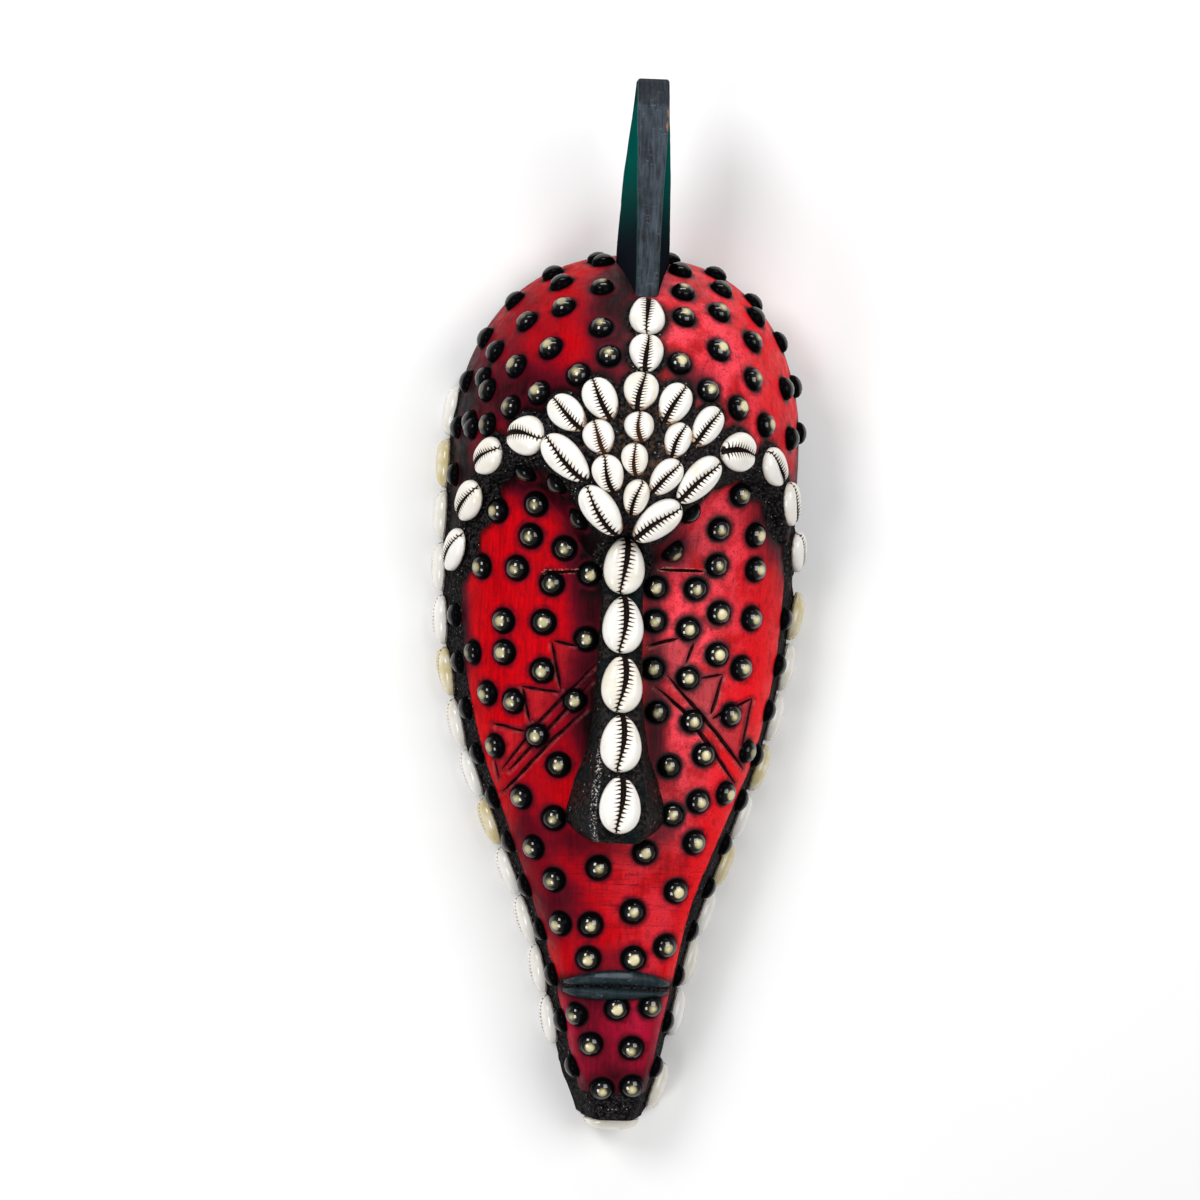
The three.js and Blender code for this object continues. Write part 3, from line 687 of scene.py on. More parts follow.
    def _under(self, middles: Array, steps: Array) -> Array:
        """Gives the form under places that are a step away from middles."""
        moved = middles + steps
        return self.form.above(moved[:, 0], moved[:, 1])

    def _seat_on_nose(self, name: str, level: float) -> None:
        """Sets a shell on the ridge of the nose.

        Args:
            name: Name of its node.
            level: Level of its middle.
        """
        reach = 6.0
        upper, lower = self.nose.ridge_point(level + reach), self.nose.ridge_point(level - reach)
        lengthways = upper - lower
        outward = unit(np.cross(np.array([1.0, 0.0, 0.0]), lengthways))
        length, width = self.nose_size
        size = (length, width, width * self.height_share)
        self._seat(name, ShellBed.NOSE, (upper + lower) / 2, outward, lengthways, size)

    def _seat_rim(self, side_name: str, side: float, rows: tuple[tuple[float, int], ...]) -> None:
        """Sets the shells next to the back rim on one side, counted from the chin.

        Args:
            side_name: The side's word in their names.
            side: 1 on the right and -1 on the left.
            rows: Length along the wall from the chin to a row's first shell, and the row's count.
        """
        spots = [self.form.wall_row(side, self.rim_centre_height, row, self.rim_spacing) for row in rows]
        places = np.concatenate(spots)
        outward = self.form.wall_normal(places)
        for count, (place, normal) in enumerate(zip(places, outward), start=1):
            lengthways = np.cross(np.array([0.0, 0.0, 1.0]), normal)
            name = f"{side_name}_rim_cowrie_{count}"
            self._seat(name, ShellBed.RIM, place, normal, lengthways, self.rim_size)


class NodeWork:
    """Adds nodes to a tree and feeds their sockets."""

    def __init__(self, tree: NodeTree) -> None:
        """Keeps the tree."""
        self.tree = tree

    def feed(self, socket: NodeSocket, value: object) -> None:
        """Links a socket or sets its value, and leaves it alone where there is none.

        Args:
            socket: The socket.
            value: A pattern, a node, another socket or a plain value.
        """
        if isinstance(value, Pattern):
            value = value.socket
        if isinstance(value, Node):
            value = value.outputs[0]
        if isinstance(value, NodeSocket):
            self.tree.links.new(value, socket)
        elif value is not None:
            socket.default_value = value

    def node(self, kind: str, inputs: dict, **settings: object) -> Node:
        """Adds a node.

        Args:
            kind: Its type.
            inputs: What goes into its sockets, by name or number.
            settings: Its options.

        Returns:
            The node.
        """
        made = self.tree.nodes.new(kind)
        for key, value in settings.items():
            setattr(made, key, value)
        for key, value in inputs.items():
            self.feed(made.inputs[key], value)
        return made

    def pattern(self, kind: str, inputs: dict, **settings: object) -> "Pattern":
        """Adds a node and gives what comes out of its first socket."""
        return Pattern(self, self.node(kind, inputs, **settings).outputs[0])

    def math(self, operation: str, *numbers: object) -> "Pattern":
        """Calculates with numbers."""
        return self.pattern("ShaderNodeMath", dict(enumerate(numbers)), operation=operation)


class Pattern:
    """A number or colour that varies from place to place, held by a socket of a node tree."""

    def __init__(self, work: NodeWork, socket: NodeSocket) -> None:
        """Keeps the socket and its tree."""
        self.work, self.socket = work, socket

    def math(self, operation: str, *others: object) -> "Pattern":
        """Calculates with this number first and others after it."""
        return self.work.math(operation, self, *others)

    def plus(self, other: object) -> "Pattern":
        """Adds a number."""
        return self.math("ADD", other)

    def times(self, other: object) -> "Pattern":
        """Multiplies by a number."""
        return self.math("MULTIPLY", other)

    def scaled(self, factor: object, shift: object) -> "Pattern":
        """Multiplies by one number and adds another."""
        return self.math("MULTIPLY_ADD", factor, shift)

    def smooth(self, low: float, high: float, first: float = 0, last: float = 1) -> "Pattern":
        """Goes smoothly from `first` at `low` to `last` at `high`."""
        limits = {"Value": self, "From Min": low, "From Max": high, "To Min": first, "To Max": last}
        return self.work.pattern("ShaderNodeMapRange", limits, interpolation_type="SMOOTHSTEP")


class Recipe(NodeWork):
    """Builds one node material. Places in it are in millimetres of the piece's own coordinates."""

    def __init__(self, name: str, colour: object) -> None:
        """Starts a material.

        Args:
            name: Its name.
            colour: Its first colour, on which others are laid.
        """
        self.material = bpy.data.materials.new(name)
        self.material.use_nodes = True
        super().__init__(self.material.node_tree)
        self.tree.nodes.clear()
        self.colour = colour
        self.shader = self.node("ShaderNodeBsdfPrincipled", {})
        self.node("ShaderNodeOutputMaterial", {"Surface": self.shader})
        self.places = self.node("ShaderNodeTexCoord", {}).outputs["Object"]

    def held(self, name: str) -> Pattern:
        """Reads a number that the mesh carries."""
        made = self.node("ShaderNodeAttribute", {}, attribute_type="GEOMETRY", attribute_name=name)
        return Pattern(self, made.outputs["Fac"])

    def _scaled_places(self, size: Size, shift: float) -> Node:
        """Gives coordinates in units of a pattern's size."""
        place, scale = (shift, 0.37 * shift, -0.61 * shift), tuple(1000.0 / part for part in size)
        return self.node("ShaderNodeMapping", {"Vector": self.places, "Location": place, "Scale": scale})

    def noise(self, size: float | Size, shift: float, detail: float = 3, rough: float = 0.55) -> Pattern:
        """Makes a cloudy pattern between 0 and 1.

        Args:
            size: Size of its largest lumps in millimetres, one for all directions or one for each.
            shift: Moves the pattern.
            detail: Number of finer layers.
            rough: How strong the finer layers are.

        Returns:
            The pattern.
        """
        places = self._scaled_places(size if isinstance(size, tuple) else (size, size, size), shift)
        inputs = {"Vector": places, "Scale": 1.0, "Detail": detail, "Roughness": rough}
        return self.pattern("ShaderNodeTexNoise", inputs)

    def specks(self, spacing: float, shift: float, low: float, high: float) -> Pattern:
        """Makes small round specks in one cell of five.

        Args:
            spacing: Distance between the cells in millimetres.
            shift: Moves the pattern.
            low: Radius within which a speck is full, as a share of the spacing.
            high: Radius at which it ends.

        Returns:
            The pattern, 1 on a speck.
        """
        places = self._scaled_places((spacing, spacing, spacing), shift)
        cells = self.node("ShaderNodeTexVoronoi", {"Vector": places, "Scale": 1.0}).outputs
        dot = Pattern(self, cells["Distance"]).smooth(low, high, 1, 0)
        pick = self.node("ShaderNodeSeparateColor", {"Color": cells["Color"]})
        return dot.times(self.math("GREATER_THAN", pick, 0.8))

    def mix(self, first: object, second: object, share: object) -> Pattern:
        """Mixes two colours: all of the second where the share is 1."""
        inputs = {0: share, 6: first, 7: second}
        return Pattern(self, self.node("ShaderNodeMix", inputs, data_type="RGBA").outputs[2])

    def lay(self, colour: object, share: object) -> None:
        """Lays a colour on those before it, all of it where the share is 1."""
        self.colour = self.mix(self.colour, colour, share)

    def bump(self, height: Pattern, depth: float, normal: object = None) -> Node:
        """Shades a relief on the one under it, as deep in millimetres as the pattern's 1 is high."""
        inputs = {"Height": height, "Distance": depth * 0.001, "Strength": 1.0, "Normal": normal}
        return self.node("ShaderNodeBump", inputs)

    def finish(self, roughness: object, normal: object = None, **more: object) -> Material:
        """Feeds the surface shader.

        Args:
            roughness: Roughness.
            normal: Relief.
            more: Other sockets of the shader, with underscores for spaces.

        Returns:
            The material.
        """
        sockets = {"Base_Color": self.colour, "Roughness": roughness, "Normal": normal, **more}
        for key, value in sockets.items():
            self.feed(self.shader.inputs[key.replace("_", " ")], value)
        return self.material


@dataclass(frozen=True)
class SandyBlack:
    """Black paint and glue with sand in it."""

    dark: Colour = (0.002, 0.002, 0.0025, 1)
    light: Colour = (0.045, 0.04, 0.042, 1)
    speck: Colour = (0.5, 0.48, 0.43, 1)

    def relief(self, recipe: Recipe) -> Pattern:
        """Makes the relief of the sand."""
        return recipe.noise(1.1, 3.1, 4, 0.7)

    def colour(self, recipe: Recipe) -> Pattern:
        """Makes the colour.

        Args:
            recipe: The material that it goes into.

        Returns:
            The colour's pattern.
        """
        sand = recipe.noise(1.3, 3.1, 4, 0.7).smooth(0.42, 0.68)
        base = recipe.mix(self.dark, self.light, sand)
        return recipe.mix(base, self.speck, recipe.specks(1.5, 8.3, 0.12, 0.22).times(0.7))


@dataclass(frozen=True)
class RedPaint:
    """Red paint of the face and the forehead, smoked, with painted shade and a painted pink sheen, and with
    sandy black round the shells.
    """

    deep: Colour = (0.36, 0.001, 0.004, 1)
    bright: Colour = (0.6, 0.001, 0.005, 1)
    painted_sheen: Colour = (0.98, 0.055, 0.085, 1)
    vivid: Colour = (1.0, 0.004, 0.01, 1)
    crimson: Colour = (0.4, 0.005, 0.04, 1)
    maroon: Colour = (0.085, 0.0025, 0.01, 1)
    soot_and_shadow: Colour = (0.004, 0.0015, 0.002, 1)
    panel: Colour = (0.42, 0.05, 0.062, 1)
    scuff: Colour = (0.8, 0.26, 0.24, 1)
    tan: Colour = (0.5, 0.3, 0.2, 1)
    stain: Colour = (0.15, 0.075, 0.036, 1)
    sandy: SandyBlack = SandyBlack()

    def make(self) -> Material:
        """Makes the material.

        Returns:
            The material.
        """
        recipe = Recipe("red_face_paint", self.deep)
        streaks = recipe.noise((1.3, 17.0, 6.0), 1.7, 4, 0.6)
        clouds = recipe.noise(15.0, 5.1, 4, 0.6)
        fine = recipe.noise(0.9, 7.7, 3, 0.65)
        self._brush_and_sheen(recipe, streaks, clouds, fine)
        self._smoke_and_shade(recipe, streaks, clouds)
        self._edge_cuts(recipe, fine)
        edge = recipe.noise(2.2, 9.4, 4, 0.65).scaled(3.0, -1.5)
        glue_edge = recipe.held("glue").plus(edge)
        wall_edge = edge.scaled(0.7, recipe.held("wall"))
        recipe.lay(self.soot_and_shadow, glue_edge.smooth(-3.6, -0.2, 0, 0.85))
        black = glue_edge.smooth(-0.35, 0.35).math("MAXIMUM", wall_edge.smooth(0.5, -0.5))
        recipe.lay(self.sandy.colour(recipe), black)
        drops = recipe.noise(3.4, 6.8, 4, 0.6).smooth(0.5, 0.66)
        recipe.lay(self.stain, drops.times(recipe.held("fan")).times(0.6))
        normal = recipe.bump(recipe.noise(0.8, 4.4, 4, 0.6).scaled(0.35, streaks), 0.16)
        normal = recipe.bump(self.sandy.relief(recipe).times(black), 0.9, normal)
        matt = recipe.noise(5.0, 6.2, 3, 0.6).smooth(0.3, 0.7, 0.36, 0.56)
        shine = recipe.held("lit_side").scaled(0.2, 0.02).times(black.scaled(-0.6, 1.0))
        return recipe.finish(black.scaled(0.2, matt), normal, Specular_IOR_Level=shine)

    def _brush_and_sheen(self, recipe: Recipe, streaks: Pattern, clouds: Pattern, fine: Pattern) -> None:
        """Brushes the red, paints a pink sheen on its lit side, dulls it in the panels and pits it.

        Args:
            recipe: The material.
            streaks: Pattern of the brush.
            clouds: Pattern of the painted sheen's patches, and of the pits.
            fine: Pattern of the pits.
        """
        recipe.lay(self.bright, streaks.smooth(0.3, 0.66))
        lit = recipe.held("lit_side")
        # Painted sheen: pink laid on the lit side, where the light would make the satin red shine.
        recipe.lay(self.painted_sheen, clouds.smooth(0.36, 0.62).times(lit))
        recipe.lay(self.vivid, recipe.held("vivid"))
        recipe.lay(self.crimson, recipe.held("crimson"))
        recipe.lay(self.panel, recipe.held("panel").times(streaks.smooth(0.25, 0.6, 0.3, 0.8)))
        mottle = recipe.noise((2.6, 5.0, 4.0), 4.3, 4, 0.65)
        recipe.lay(self.maroon, mottle.smooth(0.5, 0.72, 0, 0.42))
        pits = lit.scaled(0.4, clouds.smooth(0.35, 0.7, 0.15, 0.5))
        recipe.lay(self.maroon, fine.smooth(0.55, 0.68).times(pits))
        strokes = recipe.noise((13.0, 1.1, 6.0), 8.8, 4, 0.7).smooth(0.5, 0.66, 0, 0.75)
        recipe.lay(self.maroon, strokes.times(recipe.held("strokes")))

    def _smoke_and_shade(self, recipe: Recipe, streaks: Pattern, clouds: Pattern) -> None:
        """Darkens the red where it is smoked and where shade is painted, and in a smudge round each tack
        with a painted contact shadow at its foot.

        Args:
            recipe: The material.
            streaks: Pattern of the brush.
            clouds: Pattern of the smoke and the painted shade.
        """
        smoke = recipe.held("smoke").plus(clouds.scaled(0.5, -0.25)).plus(streaks.scaled(0.35, -0.175))
        # Smoke and painted shade: maroon, and soot black where strongest.
        recipe.lay(self.maroon, smoke.smooth(0.16, 0.66, 0, 0.96))
        recipe.lay(self.soot_and_shadow, smoke.smooth(0.5, 1.0))
        gap = recipe.held("from_tack")
        blurred = gap.plus(recipe.noise(3.2, 2.4, 3, 0.6).scaled(4.4, -2.2))
        recipe.lay(self.maroon, blurred.smooth(3.0, 0.2, 0, 0.86))
        # Painted contact shadow: a thin black ring at the foot of each tack.
        recipe.lay(self.soot_and_shadow, gap.smooth(1.05, 0.2))

    def _edge_cuts(self, recipe: Recipe, fine: Pattern) -> None:
        """Darkens the red along the incised lines and paints a pale highlight along their edges.

        Args:
            recipe: The material.
            fine: Pattern of the pits.
        """
        recipe.lay(self.maroon, recipe.held("from_cut").smooth(2.2, 0.7, 0, 0.6))
        patches = recipe.noise(4.5, 3.3, 3, 0.6).smooth(0.42, 0.62, 0.1, 0.6)
        # Painted highlight: pale pink along the lower edge of each cut.
        recipe.lay(self.scuff, recipe.held("scuff").times(patches))
        lid = recipe.held("from_eye").smooth(1.3, 0.8, 0, 0.7)
        recipe.lay(self.tan, lid.times(fine.smooth(0.47, 0.62, 0, 0.7)))


@dataclass(frozen=True)
class NosePaint:
    """Granular black of the nose, rubbed pale along its left arris."""

    dark: Colour = (0.002, 0.0022, 0.0025, 1)
    light: Colour = (0.034, 0.028, 0.026, 1)
    teal: Colour = (0.001, 0.01, 0.012, 1)
    dust: Colour = (0.6, 0.58, 0.55, 1)

    def make(self) -> Material:
        """Makes the material.

        Returns:
            The material.
        """
        recipe = Recipe("black_nose_paint", self.dark)
        sand = recipe.noise(1.6, 3.3, 4, 0.68)
        recipe.lay(self.light, sand.smooth(0.42, 0.66))
        clouds = recipe.noise(9.0, 1.9)
        recipe.lay(self.teal, clouds.smooth(0.45, 0.7, 0, 0.7))
        fine = recipe.noise(1.0, 6.1, 5, 0.75).smooth(0.53, 0.6)
        clumps = recipe.noise(4.5, 4.2, 3, 0.6).scaled(1.3, recipe.held("wear"))
        recipe.lay(self.dust, clumps.smooth(1.1, 1.6).times(fine))
        recipe.lay(self.dust, recipe.specks(2.4, 2.2, 0.1, 0.17).times(0.6))
        roughness = clouds.smooth(0.3, 0.7, 0.42, 0.62)
        return recipe.finish(roughness, recipe.bump(sand, 0.55), Specular_IOR_Level=0.05)


@dataclass(frozen=True)
class SlatePaint:
    """Slate blue-black paint, brushed along the carving, with wear to the wood on its arrises, and with
    painted shade on the blade and a painted highlight on the upper lip.
    """

    name: str
    slate: Colour = (0.044, 0.06, 0.08, 1)
    dark: Colour = (0.006, 0.008, 0.012, 1)
    green: Colour = (0.0, 0.075, 0.062, 1)
    tan: Colour = (0.42, 0.17, 0.06, 1)
    pale: Colour = (0.17, 0.19, 0.22, 1)

    def make(self) -> Material:
        """Makes the material.

        Returns:
            The material.
        """
        recipe = Recipe(self.name, self.dark)
        along = recipe.noise((1.3, 9.0, 5.0), 4.9, 5, 0.66)
        across = recipe.noise((4.2, 1.5, 4.0), 2.6, 4, 0.7)
        recipe.lay(self.slate, along.smooth(0.3, 0.66))
        recipe.lay(self.pale, across.smooth(0.58, 0.72, 0, 0.55))
        shade = recipe.held("shade")
        # Painted highlight: pale along the top of the upper lip.
        recipe.lay(self.pale, shade.smooth(-0.2, -1.0, 0, 0.55))
        clouds = recipe.noise(11.0, 3.4)
        recipe.lay(self.dark, clouds.smooth(0.48, 0.7, 0, 0.6))
        recipe.lay(self.green, recipe.held("green").times(clouds.smooth(0.2, 0.75, 0.85, 1)))
        # Painted shade: dark on the blade's base, its top facet and its sides.
        recipe.lay(self.dark, shade.smooth(0.15, 0.95))
        chips = recipe.noise(2.6, 8.8, 4, 0.6).scaled(1.0, recipe.held("wear"))
        recipe.lay(self.tan, chips.smooth(1.04, 1.16, 0, 0.9))
        normal = recipe.bump(recipe.noise(1.0, 5.5, 3, 0.6), 0.12, recipe.bump(along, 0.22))
        shine = recipe.held("green").scaled(-0.2, 0.2)
        return recipe.finish(across.smooth(0.3, 0.7, 0.34, 0.52), normal, Specular_IOR_Level=shine)


@dataclass(frozen=True)
class RawWood:
    """Gouged bare wood of the hollow, darkened by handling."""

    light: Colour = (0.3, 0.15, 0.07, 1)
    brown: Colour = (0.11, 0.045, 0.02, 1)
    stain: Colour = (0.02, 0.009, 0.006, 1)

    def make(self) -> Material:
        """Makes the material.

        Returns:
            The material.
        """
        recipe = Recipe("raw_hollow_wood", self.brown)
        rings = recipe.noise((2.4, 60.0, 2.4), 6.6, 5, 0.62)
        fibres = recipe.noise((0.35, 9.0, 0.35), 2.8, 3, 0.6)
        recipe.lay(self.light, rings.smooth(0.32, 0.68))
        recipe.lay(self.brown, fibres.smooth(0.55, 0.75, 0, 0.7))
        recipe.lay(self.stain, recipe.noise(28.0, 9.9).smooth(0.52, 0.8, 0, 0.8))
        return recipe.finish(rings.smooth(0.3, 0.7, 0.58, 0.75), recipe.bump(fibres, 0.2))


@dataclass(frozen=True)
class GrooveStain:
    """Dark maroon of the incised lines, chipped pale inside."""

    dark: Colour = (0.012, 0.002, 0.003, 1)
    red: Colour = (0.075, 0.004, 0.007, 1)
    chip: Colour = (0.5, 0.36, 0.27, 1)

    def make(self) -> Material:
        """Makes the material.

        Returns:
            The material.
        """
        recipe = Recipe("groove_stain", self.dark)
        clouds = recipe.noise(2.4, 3.8, 4, 0.6)
        recipe.lay(self.red, clouds.smooth(0.42, 0.7))
        chips = recipe.noise(1.4, 7.1, 4, 0.65).scaled(1.0, recipe.held("wear"))
        recipe.lay(self.chip, chips.smooth(0.68, 0.8, 0, 0.85))
        roughness = clouds.smooth(0.3, 0.7, 0.5, 0.7)
        return recipe.finish(roughness, recipe.bump(clouds, 0.3), Specular_IOR_Level=0.12)


@dataclass(frozen=True)
class Porcelain:
    """Glossy cowrie shell: cream, with a dark toothed slit and glue stains round its foot."""

    white: Colour = (0.87, 0.85, 0.81, 1)
    cream: Colour = (0.74, 0.67, 0.54, 1)
    yellow: Colour = (0.62, 0.5, 0.2, 1)
    slit: Colour = (0.007, 0.0035, 0.0025, 1)
    brown: Colour = (0.1, 0.035, 0.012, 1)
    tan: Colour = (0.42, 0.23, 0.08, 1)
    halo: Colour = (0.3, 0.17, 0.09, 1)
    pitch: float = 1.62

    def make(self) -> Material:
        """Makes the material.

        Returns:
            The material.
        """
        recipe = Recipe("cowrie_shell", self.white)
        clouds = recipe.noise(6.0, 2.7)
        recipe.lay(self.cream, clouds.smooth(0.42, 0.78, 0, 0.55))
        recipe.lay(self.yellow, recipe.held("tint").times(clouds.smooth(0.25, 0.6, 0.4, 1)))
        blur = recipe.noise(1.9, 5.2, 4, 0.6).scaled(2.2, -1.1)
        foot = recipe.held("rise").plus(blur).smooth(1.5, 0.1)
        glue = recipe.mix(self.tan, self.brown, recipe.noise(1.6, 8.1, 3, 0.6).smooth(0.4, 0.58))
        recipe.lay(glue, foot.times(0.9))
        dark = self._open_slit(recipe)
        normal = recipe.bump(recipe.noise(2.0, 3.6, 2, 0.5), 0.05)
        return recipe.finish(
            dark.math("MAXIMUM", foot).scaled(0.35, 0.24), normal, Coat_Weight=dark.scaled(-0.33, 0.35),
            Coat_Roughness=0.12, Specular_IOR_Level=dark.scaled(-0.42, 0.5),
        )

    def _open_slit(self, recipe: Recipe) -> Pattern:
        """Paints the dark slit with the gaps between its teeth, which run out in spikes.

        Args:
            recipe: The material.

        Returns:
            How much of each place is slit or gap.
        """
        across, reach = recipe.held("across"), recipe.held("reach")
        from_slit = across.math("ABSOLUTE")
        recipe.lay(self.cream, from_slit.smooth(2.6, 0.6, 0, 0.35))
        jitter = recipe.noise(1.4, 4.1, 2, 0.5)
        half = jitter.scaled(0.4, reach.smooth(-0.9, 0.5, 0.28, 1.05).math("SUBTRACT", 0.18))
        beyond = from_slit.math("SUBTRACT", half)
        length = reach.smooth(-1.0, 0.2, 1.1, 2.3).math("SUBTRACT", 0.85)
        length = recipe.noise(2.1, 1.2, 2, 0.5).scaled(1.8, length)
        swing = from_slit.scaled(0.12, jitter.scaled(0.3, across.math("SIGN").times(0.2)))
        wave = recipe.held("along").scaled(1 / self.pitch, swing).math("FRACT")
        gap = wave.math("SUBTRACT", 0.5).math("ABSOLUTE")
        spike = gap.scaled(3.8, beyond.math("DIVIDE", length))
        ends = reach.math("ABSOLUTE").smooth(1.0, 0.95)
        core = beyond.smooth(0.12, -0.1)
        tooth = spike.smooth(1.15, 0.85).times(ends)
        recipe.lay(self.halo, spike.smooth(1.75, 0.95, 0, 0.3).times(ends))
        slit = recipe.mix(self.slit, self.brown, recipe.held("browned").times(0.45))
        recipe.lay(recipe.mix(slit, self.brown, 0.28), tooth)
        recipe.lay(slit, core)
        return tooth.math("MAXIMUM", core)


@dataclass(frozen=True)
class TackLacquer:
    """Glossy black lacquer, with wear to pale brass on the crown of each dome, laid dimmer on the left as
    painted shade.
    """

    black: Colour = (0.002, 0.002, 0.0025, 1)
    olive: Colour = (0.09, 0.075, 0.02, 1)
    pale: Colour = (0.74, 0.66, 0.38, 1)

    def make(self) -> Material:
        """Makes the material.

        Returns:
            The material.
        """
        recipe = Recipe("lacquered_tack", self.black)
        clouds, worn = recipe.noise(2.2, 3.9, 4, 0.6), recipe.held("worn")
        crown = recipe.held("lot").scaled(0.03, clouds.scaled(0.08, recipe.held("crown")))
        recipe.lay(self.olive, crown.smooth(0.86, 0.98).times(worn))
        spot = crown.smooth(0.925, 1.03).times(worn)
        recipe.lay(self.pale, spot)
        roughness = spot.scaled(0.25, clouds.smooth(0.35, 0.75, 0.05, 0.13))
        shine = recipe.held("crown").smooth(0.5, 0.88, 0.02, 1).times(worn.scaled(0.6, 0.4))
        return recipe.finish(roughness, recipe.bump(clouds, 0.03), Specular_IOR_Level=shine)


def make_object(
    name: str, points: Array, faces: Iterable[Sequence[int]], material: Material | None
) -> Object:
    """Makes a mesh object at the origin.

    Args:
        name: Its name.
        points: Corners in millimetres.
        faces: Corners of each face.
        material: Its finish.

    Returns:
        The object.
    """
    mesh = bpy.data.meshes.new(name)
    mesh.from_pydata(metres(points).tolist(), [], [tuple(face) for face in faces])
    if material:
        mesh.materials.append(material)
    mesh.update()
    made = bpy.data.objects.new(name, mesh)
    bpy.context.scene.collection.objects.link(made)
    return made


def closed_skin(rows: int, columns: int) -> list[tuple[int, ...]]:
    """Lists the faces between rings, and from the first and the last ring to an end point each.

    Args:
        rows: Number of rings.
        columns: Corners of each ring.

    Returns:
        The faces. The two end points are counted after all the rings' corners.
    """
    tail, last = rows * columns, (rows - 1) * columns
    faces, caps = [], []
    for column in range(columns):
        following = (column + 1) % columns
        caps += [(following, column, tail), (last + column, last + following, tail + 1)]
    for first in range(0, last, columns):
        for column in range(columns):
            a, b = first + column, first + (column + 1) % columns
            faces.append((a, b, b + columns, a + columns))
    return faces + caps


def enclosed(points: Array, faces: list[tuple[int, ...]]) -> float:
    """Works out the volume inside a closed mesh.

    Args:
        points: Its corners.
        faces: Its faces.

    Returns:
        The volume, negative if the faces point inwards.
    """
    triangles = np.array([(face[0], *face[k:k + 2]) for face in faces for k in range(1, len(face) - 1)])
    a, b, c = (points[corner] for corner in triangles.T)
    return float(np.einsum("ij,ij->i", a, np.cross(b, c)).sum() / 6.0)


def loft(name: str, rings: Array, material: Material, ends: Sequence[Array] | None = None) -> Object:
    """Makes a closed solid through rings, turned right side out.

    Args:
        name: Name of the object.
        rings: Places of the corners, by ring and by corner of the ring.
        material: Its finish.
        ends: The points onto which the first and last ring close, or none for their middles.

    Returns:
        The object.
    """
    start, end = ends if ends else (rings[0].mean(axis=0), rings[-1].mean(axis=0))
    points = np.concatenate([rings.reshape(-1, 3), [start], [end]])
    faces = closed_skin(*rings.shape[:2])
    if enclosed(points, faces) < 0:
        faces = [face[::-1] for face in faces]
    return make_object(name, points, faces, material)


def bar_section(half: list[Pixel], axis: float, level: float, count: int, passes: int) -> Array:
    """Makes the section of a bar that is alike on both sides, with softened corners.

    Args:
        half: Its corners on the right, by distance from its axis and by height.
        axis: Place of its axis across the mask.
        level: Its level.
        count: Number of places on it.
        passes: How often neighbours are averaged.

    Returns:
        The places.
    """
    corners = np.array(half)
    ring = evenly(np.concatenate([corners, corners[::-1] * [-1, 1]]), count, closed=True)
    for _ in range(passes):
        ring = 0.25 * np.roll(ring, 1, axis=0) + 0.5 * ring + 0.25 * np.roll(ring, -1, axis=0)
    return np.stack([axis + ring[:, 0], np.full(count, level), ring[:, 1]], axis=1)


def roughened(rings: Array, bumps: Callable[[Array], Array]) -> Array:
    """Moves the corners of rings out, except those of the first and the last ring.

    Args:
        rings: Places of the corners, by ring and by corner of the ring.
        bumps: Gives how far the corners at places move.

    Returns:
        The rings.
    """
    out = unit(rings - rings.mean(axis=1, keepdims=True))
    moves = out * bumps(rings.reshape(-1, 3)).reshape(rings.shape[:2])[..., None]
    rings[1:-1] += moves[1:-1]
    return rings


def set_numbers(mesh: Mesh, name: str, values: Array) -> None:
    """Gives a mesh a number at each corner."""
    held = mesh.attributes.new(name, "FLOAT", "POINT")
    held.data.foreach_set("value", np.asarray(values, np.float32))


def corners_of(mesh: Mesh) -> Array:
    """Reads the corners of a mesh.

    Args:
        mesh: The mesh.

    Returns:
        Places in the carver's millimetres.
    """
    found = np.zeros(len(mesh.vertices) * 3)
    mesh.vertices.foreach_get("co", found)
    return found.reshape(-1, 3) * 1000.0 - FOOTPRINT_SHIFT


def settle(made: Object) -> None:
    """Turns an object's modifiers into its plain mesh.

    Args:
        made: The object.
    """
    evaluated = made.evaluated_get(bpy.context.evaluated_depsgraph_get())
    mesh = bpy.data.meshes.new_from_object(evaluated)
    made.modifiers.clear()
    worn_out = made.data
    made.data = mesh
    bpy.data.meshes.remove(worn_out)


def dress(made: Object, slot: str, nodes: Sequence[str]) -> None:
    """Tells the frame what a finished piece is.

    Args:
        made: The piece.
        slot: The finish that it has in the part's record; it is only logged.
        nodes: The nodes that it stands for.
    """
    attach(made, BODY)
    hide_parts(*nodes)
    log.info("%s: %d faces, slot %s", made.name, len(made.data.polygons), slot)


